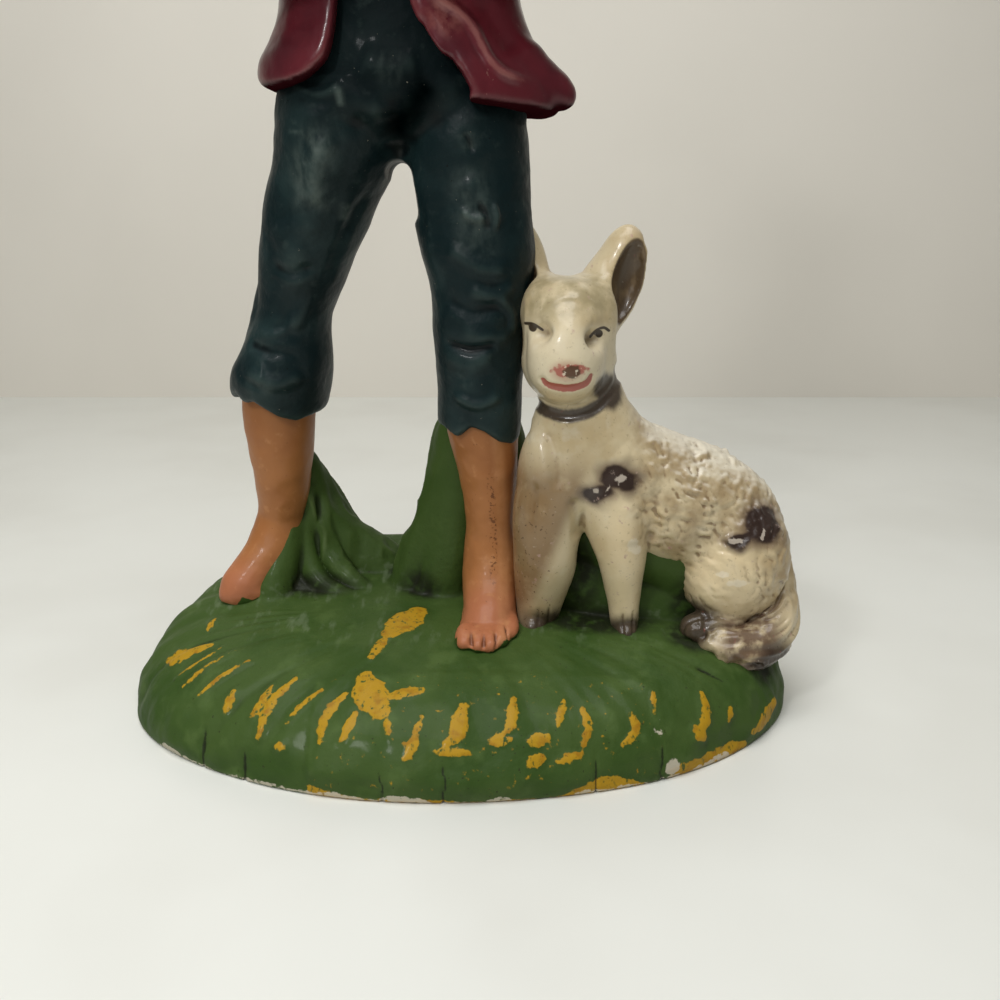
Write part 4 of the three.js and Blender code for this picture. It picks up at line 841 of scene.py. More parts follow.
# Folds raised from the cloth or pressed into it: path, width and height
FOLDS = (
    (((-34, -1, 137), (-25, -7, 141), (-14, -9, 139), (-6, -9, 143)), 9, 0.9),
    (((-40, 0, 118), (-37, -2, 108), (-38.5, -1, 100)), 11, 1.0),
    (((-33, -1, 103), (-36, 1, 97), (-40, 2, 92)), 6, 0.9),
    (((-52, 5, 90), (-46, 2, 88), (-38, 3, 86.5)), 5, -0.9),
    (((-50, 3, 83), (-44, 1, 80), (-37, 3, 82)), 6, 0.7),
    (((2, -9, 127), (6, -9, 121), (9, -8, 116)), 9, 0.8),
    (((-3, -8, 112), (4, -9.3, 107.5), (11, -7, 106.5)), 6, 0.7),
    (((2, -9, 103), (8, -8.2, 101), (12.4, -6, 104)), 5, 0.6),
    (((-4, -7, 101), (3, -9, 98), (10, -7.5, 99.5)), 6, -0.7),
    (((0, -8.8, 94), (7, -8, 91.6), (12, -5.5, 92.4)), 6, 0.6),
    (((-5, -6, 88), (2, -8, 86), (8, -7.6, 88)), 7, 0.7),
    (((-13, -8.5, 143), (-13.2, -8, 138), (-13.6, -4, 132)), 8, -1.3),
    (((-36, -4, 146), (-26, -8, 141), (-18, -7, 135)), 9, -0.6),
    (((12, -4, 145), (2, -8.5, 141), (-7, -7, 136)), 9, -0.6),
    (((-27, -5, 134), (-31, -4.5, 124), (-35, -2, 112)), 12, 0.9),
    (((-10, -6.5, 128), (-9, -7, 118), (-8.5, -6, 108)), 8, 0.6),
    (((-20, 2, 124), (-26, 1, 112), (-31, 3, 102)), 6, -0.6),
    (((-26, 20, 138), (-14, 25, 132), (-2, 21, 138)), 10, -1.0),
    (((-36, 23, 112), (-32, 22, 104), (-40, 23, 96)), 8, 1.0),
    (((-48, 25, 88), (-42, 25.5, 86), (-36, 22, 88)), 6, -0.9),
    (((-2, 14, 116), (5, 15, 112), (12, 12, 116)), 7, 1.0),
    (((-4, 12, 98), (4, 14, 95), (11, 11.5, 98)), 6, -0.9),
    (((-4, 12, 84), (4, 13.4, 81), (12, 11, 84)), 7, 0.8),
    (((-52, 12, 104), (-50, 10, 98), (-55, 12, 90)), 7, 0.8),
    (((14, 2, 122), (15, 3, 112), (15, 4, 102)), 7, 0.6),
)

# Creases on the front of the cloth, and places with dust and painted sheen on it: (x, z) path, width, and
# height or strength
CREASES = (
    (((0.5, 119.6), (3.5, 117.6), (6.5, 118.2)), 2.6, 0.6),
    (((4.4, 121.4), (5.8, 118.6), (6.6, 115.2)), 2, -0.6),
    (((7.6, 121.2), (8.4, 118), (8, 115)), 2, 0.5),
    (((1.6, 135.2), (2.8, 133), (3.4, 131)), 2.2, -0.5),
    (((-26.5, 136), (-30.5, 128.5), (-32, 124), (-30.5, 120)), 7, 0.5),
    (((-20, 150), (-14, 147.6), (-7, 148.6)), 11, 0.6),
    (((-35, 145), (-29, 142.6), (-23, 144.4)), 4, 0.5),
    (((-43, 108), (-38, 105.6), (-33, 108)), 4, -0.5),
    (((-50, 94), (-45, 91.4), (-39, 93)), 3, 0.5),
    (((-55, 84), (-51, 80.6), (-46, 79)), 3, -0.5),
    (((-48, 79), (-46.6, 82.6), (-47.4, 86)), 2, 0.4),
    (((-3, 91), (2.6, 89.4), (9, 91)), 3.4, -0.5),
    (((-2, 79), (4, 76.6), (10, 79)), 4, 0.5),
    (((8.6, 101), (11.6, 97.4), (12, 92)), 3, 0.5),
)
CREASE_STRENGTH = 1.5
DUST_AND_SHEEN = (
    (((-27, 137), (-32.2, 126.6), (-31, 118)), 13, 0.9),
    (((2.4, 135.4), (3.2, 131.6)), 6, 0.6),
    (((0.6, 119), (6.3, 117.4)), 7, 0.8),
    (((-24.1, 144), (-24.1, 140)), 3, 0.9),
    (((-24.6, 121), (-25.8, 116.6)), 4, 0.8),
    (((-36, 135.6), (-31.5, 135)), 1.6, 0.7),
    (((2, 130), (5, 108)), 15, 0.45),
    (((-16, 148), (-10.5, 147)), 9, 0.4),
    (((-52, 80), (-44, 78.6)), 8, 0.6),
)
# Painted shade down the crease between the thighs: (x, z) path
CROTCH_SHADE = ((-4, 146), (-8, 141.6), (-11.6, 137), (-13.4, 132))

# Gap between the legs in the front view: it is cut from its top to its foot, and once more beside the top
CROTCH_TOP = (-13.1, 127)
CROTCH_FOOT = (-11.9, 118.5)
CROTCH_SIDE = (-13.7, 127)
CROTCH_ROUND = 2.3
TROUSER_BOX = ((-62, -16, 62), (22, 32, 168))


def make_trousers():
    legs = []
    for levels, hem in ((LEFT_TROUSER, LEFT_HEM), (RIGHT_TROUSER, RIGHT_HEM)):
        leg = Clay(*TROUSER_BOX, CELL)
        leg.column(levels)
        spans, (x, y, z) = leg.window((-70, -30, 60), (30, 40, 84))
        rows = np.array([*hem, (180, hem[0][1])])
        angle = np.degrees(np.arctan2(y - levels[1][2], x - levels[1][1]))
        low = np.interp(angle, rows[:, 0], rows[:, 1])
        leg.field[spans] = soft_max(leg.field[spans], (low - z) * 0.8, 1.1)
        legs.append(leg.field)
    clay = Clay(*TROUSER_BOX, CELL)
    clay.field = soft_min(*legs, 5)
    clay.column(SEAT, soft=2.5)
    for x, z in (*np.linspace(CROTCH_TOP, CROTCH_FOOT, 9), CROTCH_SIDE):
        clay.limb(((x, -20, z, CROTCH_ROUND), (x, 36, z, CROTCH_ROUND)), soft=0.8, cutting=True)

    skin = Skin(clay)
    points = skin.points
    x, y, z = points.T
    flat = front_of(points)
    facing = rise(5 - y - 6 * rise(-x, 26, 42), -8, 2)
    lift = (0.55 * rough(points, 15, 2, 2) + 0.16 * rough(points, 6, 5)) * (0.5 + 0.5 * rise(z, 72, 84))
    skin.tool(lift + pressed(points, FOLDS) + CREASE_STRENGTH * facing * pressed(flat, CREASES))
    dust_and_sheen = np.max([strength * ridge(flat, path, width) for path, width, strength in DUST_AND_SHEEN], axis=0)
    skin.masks = {
        "hollow": skin.hollows(5),
        "belly": rise(z, 134, 146),
        "dust_and_sheen": facing * dust_and_sheen,
        "crotch_shade": facing * ridge(flat, CROTCH_SHADE, 13),
    }

    paint = Paint("trouser paint", (12, 30, 32), 0.34, 0.08, 0.15)
    paint.coat((36, 54, 54), 0.7, speckle=(13, 0.42, 0.7, 4))
    # Painted shade on the belly under the jacket, with less varnish and a rougher finish there
    paint.coat((4, 13, 15), 0.7, "belly")
    # Painted shade in the hollows and painted highlights on the fold ridges
    paint.coat((3, 9, 11), 0.85, "hollow", (0.04, 0.5))
    paint.coat((64, 80, 76), 0.4, "hollow", (-0.1, -0.8))
    paint.coat((66, 78, 74), 0.22, speckle=(3, 0.58, 0.78, 5, 3))
    # Dust and painted sheen on the front of the cloth
    paint.coat((92, 104, 98), 0.74, "dust_and_sheen", speckle=(2.6, 0.26, 0.74, 5, 10, (1, 1, 0.6)))
    # Painted shade between the thighs, with no varnish there
    paint.coat((0, 3, 3), 0.92, "crotch_shade")
    paint.bare(paint.math("MAXIMUM", paint.mask("crotch_shade"), paint.times(paint.mask("belly"), 0.5)))
    paint.coat((6, 6, 6), 0.9, speckle=(1.1, 0.74, 0.77, 2, 5))
    paint.coat((150, 146, 130), 0.6, speckle=(0.7, 0.76, 0.79, 2, 8))
    paint.dull(paint.grain(6, 4, shift=2), 0.24)
    paint.dull(paint.mask("belly"), 0.15)
    paint.relief(0.1, 1.3, 4, 12)
    paint.relief(0.2, 2.8, 5)
    paint.relief(0.7, 9, 3, 6)
    skin.piece("trousers", "teal_paint", paint.done(), "trousers_front", "trousers_back")


# Dog, sitting beside the left leg with its face to the front: stations are (x, y, z, radius)
DOG_SPINE = ((27.4, -2.6, 79, 9.6), (29.4, -2.2, 71, 11.4), (35.5, -1, 61.5, 13), (46, 1, 54.6, 14.6),
             (56.5, 2, 50, 15.2), (63.5, 2, 44.5, 14.6), (69.5, 1.5, 36, 10.4))
DOG_NEAR_FORELEG = ((35.2, -6.6, 57, 7.2), (36.4, -8.4, 48.5, 5.9), (37.8, -9, 41, 4.4),
                    (38.4, -9, 35, 3.3), (38.9, -9, 29.5, 2.5), (39.2, -9, 22.5, 2.2))
DOG_FAR_FORELEG = ((20.6, -6, 53, 7.4), (20, -6.2, 44, 6.8), (19.8, -5.8, 37, 6.4), (18.8, -5, 29, 5),
                   (17.7, -4.6, 22, 3.6))
DOG_TAIL = ((76.6, 3, 37, 3.6), (77, -2, 29, 4.6), (75.4, -8, 22, 5.2), (70, -12, 18.8, 5),
            (63.6, -13.8, 19.4, 4.2), (59.4, -13.8, 20.6, 2.6))
DOG_EYES = ((16.3, 94.7), (30.8, 93.5))
DOG_LIDS = (((14.7, 95.3), (16.4, 95.5), (18.4, 94.4)),
            ((28.8, 92.9), (30.2, 94.4), (31.8, 94.8), (33.1, 94)))
DOG_MOUTH = ((18.2, 84.4), (19.6, 83.3), (23.8, 82.8), (27.5, 83.6), (28.9, 85.4))
DOG_COLLAR = ((14.6, 78.5), (17, 76.4), (23, 75), (27.5, 75.6), (31.5, 77.6), (35.6, 81.4), (36.4, 85))

# Ears and the hollows in them: middle, half-sizes and turn
DOG_EARS = (((35.8, 0.6, 104.6), (6, 4.6, 12), (0, 14, -14)), ((15.4, 5, 106.4), (5, 3.4, 12), (-20, -7, 14)))
DOG_EAR_HOLLOWS = (((38.2, -4.2, 104.4), (3.9, 4.6, 9.6), (0, 14, -14)),
                   ((13.4, 1, 107), (3.6, 3.2, 9.4), (-20, -7, 14)))
EAR_BLENDS = (4, 5)
EAR_RIM = (0.1, 0.1, 0.2)

# Groove down the chest, and forms of the chest and shoulders as (x, z) paths with width and height
DOG_CHEST_GROOVE = ((16.4, -13, 62), (16.8, -12.4, 50), (17.6, -11.4, 34))
DOG_CHEST = (
    (((14.6, 71), (17, 66.5), (18.6, 58)), 10, 0.5),
    (((19.5, 73), (21.5, 66), (22.4, 58)), 6, -0.9),
    (((27, 72), (30, 66), (30.5, 57)), 8, 0.6),
    (((25.4, 57), (27, 51), (27.4, 45)), 5, -0.8),
    (((37.5, 56), (39.4, 50), (39, 45)), 6, 0.6),
    (((36, 68), (42, 63), (45, 57)), 7, 0.5),
    (((44.5, 58), (45, 50), (44, 44)), 4, -0.6),
)

# Dark patches on the coat: middle and half-sizes
DOG_PATCHES = (((31.6, -12, 57.6), (3.4, 6, 2.7)), ((36.4, -12, 60.8), (4.2, 6, 3.1)),
               ((69.8, -8, 48.8), (4.8, 9, 4.6)), ((64.6, -11, 46), (3.6, 6, 2)),
               ((74, -4, 44.5), (2.6, 6, 3.4)), ((50, 15, 56), (6, 5, 4)), ((68, 14, 48), (5, 5, 4)))
# Pale flakes in the patches: place (x, z), half-sizes and lean
DOG_FLAKES = (((36.4, 60.9), (1.1, 0.7), 40), ((30.9, 58.2), (0.7, 0.6), 10), ((33.6, 58.8), (1, 0.3), 60),
              ((63.7, 45.8), (1.4, 0.5), 8), ((70.2, 47.2), (1, 0.3), 65), ((39.6, 21.6), (1, 1), 30))
# Painted highlights on the coat: place (x, z) and half-sizes
DOG_GLINTS = (((39.6, 45.5), (1.5, 2.2)), ((40.6, 44), (1.6, 1.1)), ((64.4, 36), (2.8, 1)),
              ((61, 38), (1.5, 0.9)))
# Dark paint on the feet, with painted shade round the hind feet, and painted shade under the tail: middle and
# reach; the first four have toes
DOG_FEET_AND_SHADE = (((39.6, -11.5, 21.5), 5.2), ((19.6, -8, 21), 6.6), ((55, -11, 24), 6.4),
                 ((55, 14, 24), 6.4), ((73.5, -13.5, 15.5), 6.5))
# Smooth part of the near thigh, and the part a little above it that gets a painted highlight: middle and
# half-sizes
DOG_THIGH = ((61, -14, 36), (8, 9, 8))
DOG_THIGH_HIGHLIGHT = ((62, -14, 37), (8, 9, 8))
# Nose, the blush round it and the chip in its paint, and the dark smudge under the cheek, airbrushed paint
# with painted shade: place (x, z), half-sizes
DOG_NOSE = ((24, 86.8), (3.8, 1.4))
DOG_BLUSH = ((23.4, 86.6), (4, 2.6))
DOG_CHIP = ((24.4, 86.6), (1 / 0.75, 1))
DOG_SMUDGE_AND_SHADE = ((33.4, 80.4), (3, 4.4))
SMUDGE_SKEW = 0.6
DOG_BOX = ((9, -24, 11), (86, 24, 122))
FUR_STROKES = 240


def dog_clay():
    # Body, chest and belly
    clay = Clay(*DOG_BOX, FINE)
    clay.limb(DOG_SPINE, flat=0.88, steps=4)
    clay.ball((23, -3.8, 58), (9.8, 10.4, 16), soft=5)
    clay.ball((50, 0.5, 49.5), (13, 12.5, 12.2), soft=4)
    # Forelegs with their paws
    clay.limb(DOG_FAR_FORELEG, soft=2)
    clay.limb(DOG_NEAR_FORELEG, soft=2.4)
    clay.ball((39.4, -10.4, 22.3), (2.7, 4, 2.4), soft=1)
    clay.ball((17.2, -6.4, 22.8), (3.8, 5.4, 3), soft=1.2)
    # Haunches with knees and hind feet, and the tail
    for side in (-1, 1):
        clay.ball((66, 2 + 7.6 * side, 37.5), (12.6, 9.2, 15.4), (0, 14, 0), soft=2)
        clay.ball((60.4, 1.5 + 10 * side, 34), (5.6, 5.4, 7.4), (0, 24, 0), soft=2.5)
        clay.limb(((64, 1.5 + 10.6 * side, 23.6, 4), (55.4, 1.5 + 12 * side, 22.9, 3.2)), soft=1)
    clay.limb(DOG_TAIL, soft=1)

    # Head: skull, jowls, brows, muzzle, eye sockets and ears
    head = Clay(*DOG_BOX, FINE)
    head.ball((25, -2.8, 95.4), (9.6, 10.4, 9.4))
    head.ball((24.9, -3.4, 86.4), (10.9, 9.8, 10), soft=5)
    for x in (19.7, 30.3):
        head.ball((x, -2.2, 97.4), (6, 8.6, 7.6), soft=4)
    head.limb(((24.4, -8.4, 99, 3), (23.7, -11, 92, 3.8), (23.5, -12.8, 87.4, 4.2)), soft=6)
    head.ball((23.5, -11, 84.8), (6.4, 7.4, 5.6), soft=5)
    for (x, z), side in zip(DOG_EYES, (1, -1)):
        socket = (x + 1.2 * side, -14.6, z - 0.6)
        head.ball(socket, (3.2, 2.6, 1.7), (0, 14 * side, 0), soft=3.5, cutting=True)
    head.ball((32.4, 1, 102.6), (4.6, 4.8, 6), (0, 20, 0), soft=4)
    for ear, hollow, blend in zip(DOG_EARS, DOG_EAR_HOLLOWS, EAR_BLENDS):
        head.ball(*ear, soft=blend)
        head.ball(*hollow, soft=0.8, cutting=True)
    # The head meets the neck in a crease at the front and flows into it at the back
    y = clay.everywhere()[1]
    creased = soft_min(clay.field, head.field, 0.8)
    flowing = soft_min(clay.field, head.field, 6)
    clay.field = creased + (flowing - creased) * rise(y, -2, 5).astype(np.float32)
    return clay


def fur_strokes(points, side):
    """Raised curls pressed into one flank with a modelling tool; side is -1 for the near one."""
    pick = np.random.default_rng(5 + side)
    flat = front_of(points)
    lift = np.zeros(len(points))
    on_side = rise(side * (points[:, 1] - 1), 0, 3)
    for _ in range(FUR_STROKES):
        x, z = pick.uniform(37, 77), pick.uniform(26, 68)
        lie = pick.normal(-38, 30) if x < 64 else pick.normal(-75, 25)
        long = pick.uniform(1.1, 2.4)
        bend = pick.uniform(-0.7, 0.7)
        height = pick.uniform(0.14, 0.32)
        near = np.flatnonzero(np.abs(flat - (x, z)).max(1) < long + 2)
        if len(near) == 0:
            continue
        ahead, aside = leaning(lie)
        path = ((x, z) - long * ahead, (x, z) + bend * aside, (x, z) + long * ahead)
        curl = ridge(flat[near], path, 2)
        groove = ridge(flat[near] + 1.1 * aside, path, 1.6)
        lift[near] += on_side[near] * (height * curl - 0.7 * height * groove)
    return np.clip(lift, -0.6, 0.8)


def make_dog():
    skin = Skin(dog_clay())
    points = skin.points
    x, y, z = points.T
    flat = front_of(points)
    coat_start = 36 + 9 * rise(47 - z, 0, 6)
    coat = rise(x, coat_start, coat_start + 8) * rise(z, 24, 32)
    smooth_thigh = 1 - rise(apart(points, *DOG_THIGH), 0.7, 1.3)
    tail_line = curve_through([station[:3] for station in DOG_TAIL])
    tail_away, tail_along = span_to(points, tail_line)
    tail = 1 - rise(tail_away, 5.5, 7.5)
    shares = np.linspace(0, 1, len(tail_line))
    off_tail = points - np.stack([np.interp(tail_along, shares, line) for line in tail_line.T], 1)
    bristle = 1 - 2 * np.abs(noise(off_tail + 3 * tail_along[:, None] + 0.56 * stray(points, 6), 1.9, 3))
    strokes = fur_strokes(points, -1) + fur_strokes(points, 1)
    lift = coat * (1 - 0.6 * smooth_thigh) * (1 - tail) * (0.85 * strokes + 0.2 * rough(points, 2.2, 2))
    lift = lift + 0.65 * tail * bristle + 0.25 * rough(points, 9, 4, 2) * rise(84 - z, 0, 6)
    collar_away = span_to(flat, curve_through(DOG_COLLAR))[0]
    collar_side = rise(5 - y + 4 * noise(points, 4, 9), 0, 10)
    lift = lift - 0.5 * collar_side * (1 - rise(collar_away, 0.3, 1.6))
    lift = lift - 0.8 * ridge(points, DOG_CHEST_GROOVE, 3.6) + rise(-y, 2, 6) * pressed(flat, DOG_CHEST)
    mouth_away, mouth_along = span_to(flat, curve_through(DOG_MOUTH))
    front = rise(-y, 8, 11) * rise(z, 74, 78)
    lids = sum(ridge(flat - (0, 0.9), lid, 1.8) for lid in DOG_LIDS)
    lift = lift + front * (0.15 * lids - 0.35 * (1 - rise(mouth_away, 0.2, 1.2)))
    for foot_at, reach in DOG_FEET_AND_SHADE[:4]:
        near = 1 - rise(apart(points, foot_at), reach, reach + 2)
        across = x - foot_at[0] if foot_at[0] < 50 else y - foot_at[1]
        lift = lift - 0.3 * near * (1 - rise(np.abs(np.abs(across) - 1.3), 0.1, 0.6))
    skin.tool(lift)

    flat = front_of(points)
    strayed = points + 1.1 * stray(points, 3.2, 5)
    flakes = [1.5 - np.abs((flat - spot) @ leaning(lean).T / half).max(1) for spot, half, lean in DOG_FLAKES]
    thigh = apart(points, *DOG_THIGH_HIGHLIGHT)
    ears = [apart((points - middle) @ turned(turn), (0, 0, 0), np.array(half) + EAR_RIM)
            for middle, half, turn in DOG_EAR_HOLLOWS]
    iris = 0.9 - np.min([apart(flat, eye) for eye in DOG_EYES], axis=0)
    lids = 0.34 - np.min([span_to(flat, curve_through(lid))[0] for lid in DOG_LIDS], axis=0)
    nose = 1.5 - 1.5 * apart(flat, *DOG_NOSE)
    mouth = 0.4 + 0.5 * np.sqrt(np.clip(np.sin(np.pi * mouth_along), 0, 1)) - mouth_away
    chip = 1.9 - apart(flat, *DOG_CHIP)
    skew = np.array([[1, -SMUDGE_SKEW], [SMUDGE_SKEW, 1]])
    smudge_and_shade = 1 - rise(apart((flat - DOG_SMUDGE_AND_SHADE[0]) @ skew, (0, 0), DOG_SMUDGE_AND_SHADE[1]), 0.4, 1.9)
    foreleg = ridge(flat, front_of(np.array(DOG_NEAR_FORELEG)), 13) * rise(-y, 2, 6)
    skin.masks = {
        "pale": np.maximum(foreleg, 1 - rise(thigh, 0.6, 1.4)),
        "patch": np.max([np.clip(1.9 - apart(strayed, *spot), 0, 1.5) for spot in DOG_PATCHES], axis=0),
        "flake": np.clip(np.max(flakes, axis=0) * rise(-y, 0, 3), 0, 1),
        "glint": blots(flat, DOG_GLINTS, 0.4, 1.3) * rise(-y, 2, 6),
        "feet": np.max([np.clip(1.6 - apart(points, *foot), 0, 1) for foot in DOG_FEET_AND_SHADE], axis=0),
        "ear": 1 - rise(np.min(ears, axis=0), 0.98, 1.14),
        "eye": within(np.maximum(iris, lids)) * rise(-y, 4, 7) * rise(z, 88, 90),
        "mouth": np.clip((mouth + 0.5) * front, 0, 1),
        "nose": np.clip((nose + 0.5) * front, 0, 1),
        "chip": np.clip(chip * front, 0, 1),
        "blush": (1 - rise(apart(flat, *DOG_BLUSH), 0.5, 1.2)) * front,
        "collar_and_shade": collar_side * np.maximum(1 - rise(collar_away, 0.5, 2.4), 1.1 * smudge_and_shade),
        "back": rise(skin.normals()[:, 2], 0.4, 0.9) * rise(x, 36, 44) * rise(z, 44, 54),
        "cheek": rise(z, 80, 84) * rise(97 - z, 0, 4) * rise(-y, 4, 8),
        "brow": rise(z, 95, 100) * rise(-y, 0, 6) * rise(108 - z, 0, 4),
        "chest": rise(22.5 - x + 0.4 * (z - 40), 0, 4.5) * rise(z, 22, 30) * rise(70 - z, 0, 12),
        "tuft": tail * rise(78 - x, 0, 6) * rise(x, 58, 64),
        "hollow": skin.hollows(1),
        # Less coat stain where the thigh has its painted highlight
        "coat": coat * (1 - 0.6 * (1 - rise(thigh, 0.8, 1.7))),
        "grime_and_shade": np.clip(rise(32 - z, 0, 16) * 0.5 + rise(25 - x, 0, 7) * rise(64 - z, 0, 12), 0, 1),
    }

    paint = Paint("dog paint", (212, 196, 160), 0.28, 0.4)
    paint.coat((190, 166, 122), 0.6, speckle=(9, 0.42, 0.7, 4))
    paint.coat((222, 212, 186), 0.5, speckle=(5, 0.55, 0.75, 4, 3))
    # Grime and painted shade: darker towards the bottom and on the chest beside the man's leg
    paint.lay((152, 118, 74), paint.times(paint.mask("grime_and_shade"), paint.grain(6, 5, shift=5)), 0.8)
    paint.coat((150, 124, 86), 0.72, "coat", speckle=(5, 0.28, 0.68, 5, 12))
    # Dirt and painted shade down the side of the chest beside the man's leg
    paint.coat((118, 86, 48), 0.75, "chest", speckle=(5, 0.1, 0.5, 5, 16))
    # Painted highlight on the up-facing parts of the back
    paint.coat((236, 230, 212), 0.7, "back")
    paint.coat((230, 220, 192), 0.5, "cheek")
    # Painted highlight on the near foreleg and the thigh
    paint.coat((238, 217, 174), 0.6, "pale")
    paint.coat((160, 146, 110), 0.85, "brow", speckle=(4, 0.25, 0.65, 4, 14))
    paint.coat((112, 84, 50), 0.75, "hollow", (0.05, 0.7), speckle=(4, 0.32, 0.6, 4, 1))
    specks = paint.step(paint.grain(0.9, 3, shift=4), 0.64, 0.7)
    paint.lay((96, 70, 42), paint.times(specks, paint.plus(paint.mask("grime_and_shade"), 0.25)), 0.9)
    paint.lay((92, 72, 58), paint.clouded("patch", 0.4, 0.35, 1.3, 4), 0.85)
    core = paint.ragged(paint.math("SUBTRACT", paint.mask("patch"), 0.45), 2.0, 0.5, 0.16)
    paint.lay((44, 30, 26), core, 0.92)
    paint.coat((200, 188, 172), 0.75, "flake", frayed=(1.5, 2.2, 0.2))
    paint.coat((98, 74, 58), 0.88, "tuft", speckle=(3, 0.26, 0.58, 4, 9))
    paint.coat((178, 132, 110), 0.6, "blush")
    # Dark paint on the feet, with painted shade round the hind feet and under the tail
    paint.lay((48, 34, 26), paint.clouded("feet", 0.3, 0.45, 1.05, 3), 0.92)
    paint.coat((64, 44, 24), 0.92, "ear", (0.2, 0.9))
    paint.coat((138, 116, 84), 0.6, "ear", speckle=(4, 0.46, 0.66, 4, 15, (1, 1, 0.4)))
    # Dark band under the jaw: airbrushed paint with painted shade, widest under the cheek
    paint.lay((52, 40, 36), paint.clouded("collar_and_shade", 0.5, 0.4, 1.05, 1.6, 3, 8, (1, 1, 0.4)), 0.92)
    paint.coat((164, 62, 54), 0.88, "mouth", frayed=(1.0, 0.4, 0.12))
    paint.coat((166, 70, 60), 0.8, "nose", frayed=(1.5, 1.9, 0.2))
    paint.coat((66, 52, 26), 0.85, "chip", frayed=(1.3, 1.5, 0.25))
    paint.coat((226, 214, 190), 0.8, "chip", (0.1, 0.4), speckle=(1.1, 0.6, 0.66, 2, 6))
    paint.coat((38, 22, 10), 0.95, "eye", (0.42, 0.62))
    paint.coat((240, 232, 214), 0.42, "glint", frayed=(1.1, 1.7, 0.25))
    paint.dull(paint.grain(3, 4, shift=2), 0.16)
    paint.relief(0.1, 1.4, 4)
    skin.piece("sitting_dog", "cream_paint", paint.done(),
               "dog_body_left", "dog_body_right", "dog_head", "dog_left_ear", "dog_right_ear",
               "dog_left_foreleg", "dog_right_foreleg", "dog_left_haunch", "dog_right_haunch", "dog_tail")


# Jacket and shirt: levels (z, x, y, width, depth), front edges (height, x), folds (path, width, height)
JACKET = ((136, -10.8, 6.6, 66, 45), (141, -10.8, 6.6, 67.5, 45), (145, -10.9, 6.5, 66.8, 44),
          (149.8, -12.2, 6.3, 63.2, 41.5), (153.8, -12.2, 6, 58.4, 39.5), (158.8, -12.2, 6, 54, 37.6),
          (165, -12.4, 6, 51.5, 36.6), (175, -12.5, 5.6, 51.5, 37), (184, -12.5, 5.5, 52.5, 37),
          (193, -12.5, 5.5, 53, 34), (199, -12.5, 5.6, 46, 30), (204, -12.5, 5.6, 30, 24),
          (207.5, -12.5, 5.6, 23, 21))
RIGHT_EDGE = ((136, -75), (142.4, -62), (143, -40), (144.8, -33.1), (147.4, -28.6), (151.5, -25.6),
              (161.4, -23.7), (176, -22), (190, -20), (200, -19), (210, -18))
LEFT_EDGE = ((136, 60), (139.2, 40), (139.8, 5), (143.5, 2.8), (147.4, 0.6), (151.3, -4.2), (161.1, -9.1),
             (174, -8.4), (188, -6), (200, -6), (210, -7))
JACKET_HEM = 141.6
HEM_TILT = -0.09
FRONT_Y = 3
JACKET_RIDGE = ((-6.5, 163), (-3, 159.8), (1, 157.4), (3.5, 154.9), (5.5, 151.2), (7.5, 148.2),
                (10.3, 146.2), (15.8, 144.8))
JACKET_FRONT_FOLDS = (
    (JACKET_RIDGE, 3.6, 1.2),
    (((4.6, 161), (9, 155), (12.6, 150)), 7, -0.7),
    (((-7.4, 157), (-3.4, 152.4), (0.4, 147.4)), 6, -0.7),
    (((11, 165), (15, 157), (18.5, 150)), 8, 0.5),
    (((-33, 164), (-35.5, 155), (-38.5, 148)), 10, 0.4),
    (((-28, 186), (-30, 176), (-29, 168)), 8, 0.8),
    (((3, 186), (5, 176), (4, 168)), 8, 0.8),
)
JACKET_FOLDS = (
    (((-30, 24, 160), (-34, 25, 150), (-37, 23, 142)), 9, 0.9),
    (((-12, 24.5, 168), (-12, 27.5, 154), (-12, 29, 142)), 7, -1.1),
    (((4, 24, 160), (9, 25.5, 150), (12, 24, 142)), 9, 0.9),
    (((-28, 22, 188), (-25, 23.6, 176), (-27, 23.4, 166)), 9, 0.8),
    (((3, 22, 188), (0, 23.6, 176), (2, 23.4, 166)), 9, 0.8),
)
SHIRT = ((160, -12.4, 6, 42, 28.6), (170, -12.5, 5.8, 42.5, 29), (181, -12.5, 5.5, 44, 30),
         (192, -12.5, 5.5, 45, 27), (199, -12.5, 5.6, 38, 24), (204, -12.5, 5.6, 24, 20),
         (208, -12.5, 5.6, 18, 18))
SHIRT_FOLDS = (
    (((-12.5, -10, 205), (-12.5, -10.5, 190), (-12.5, -10, 166)), 2.6, 0.8),
    (((-20, -9, 198), (-17, -9.5, 186), (-15, -9, 172)), 4, -0.7),
    (((-5, -9, 198), (-8, -9.5, 186), (-10, -9, 172)), 4, -0.7),
    (((-21, -8, 176), (-17, -9.5, 170), (-13, -9, 166)), 4, 0.6),
    (((-4, -8, 178), (-7, -9.5, 171), (-11, -9, 166)), 4, 0.6),
)

# Arm from the middle outwards as (out, y, z): root, shoulder, upper arm, elbow, forearm, wrist and palm
ARM = ((12.5, 6, 192), (23, 6, 190.5), (30.3, 3, 180.8), (33.5, -4, 170), (21.4, -14, 173), (9, -21, 179),
       (2.8, -24, 186))
SLEEVE_GIRTHS = (7.4, 8, 7.4, 7.1, 6.4, 5.7)
JACKET_TAIL = ((13, -1, 150, 3), (18.5, 1.5, 145.4, 3), (23.4, 2.5, 142.9, 1.8))
# Worn place on the left front: (x, z) and half-size
JACKET_WEAR = ((-2, 157), 5)


def arm(side):
    return np.array(mirrored(side, *ARM))


def edge_gap(x, z, edge):
    """Distance across from an edge given as (height, x), measured square to it."""
    rows = curve_through(edge, 6)
    heights = np.linspace(rows[0, 0], rows[-1, 0], 400)
    places = np.interp(heights, rows[:, 0], rows[:, 1])
    slopes = np.gradient(places, heights)
    return (x - np.interp(z, heights, places)) / np.sqrt(1 + np.interp(z, heights, slopes) ** 2)


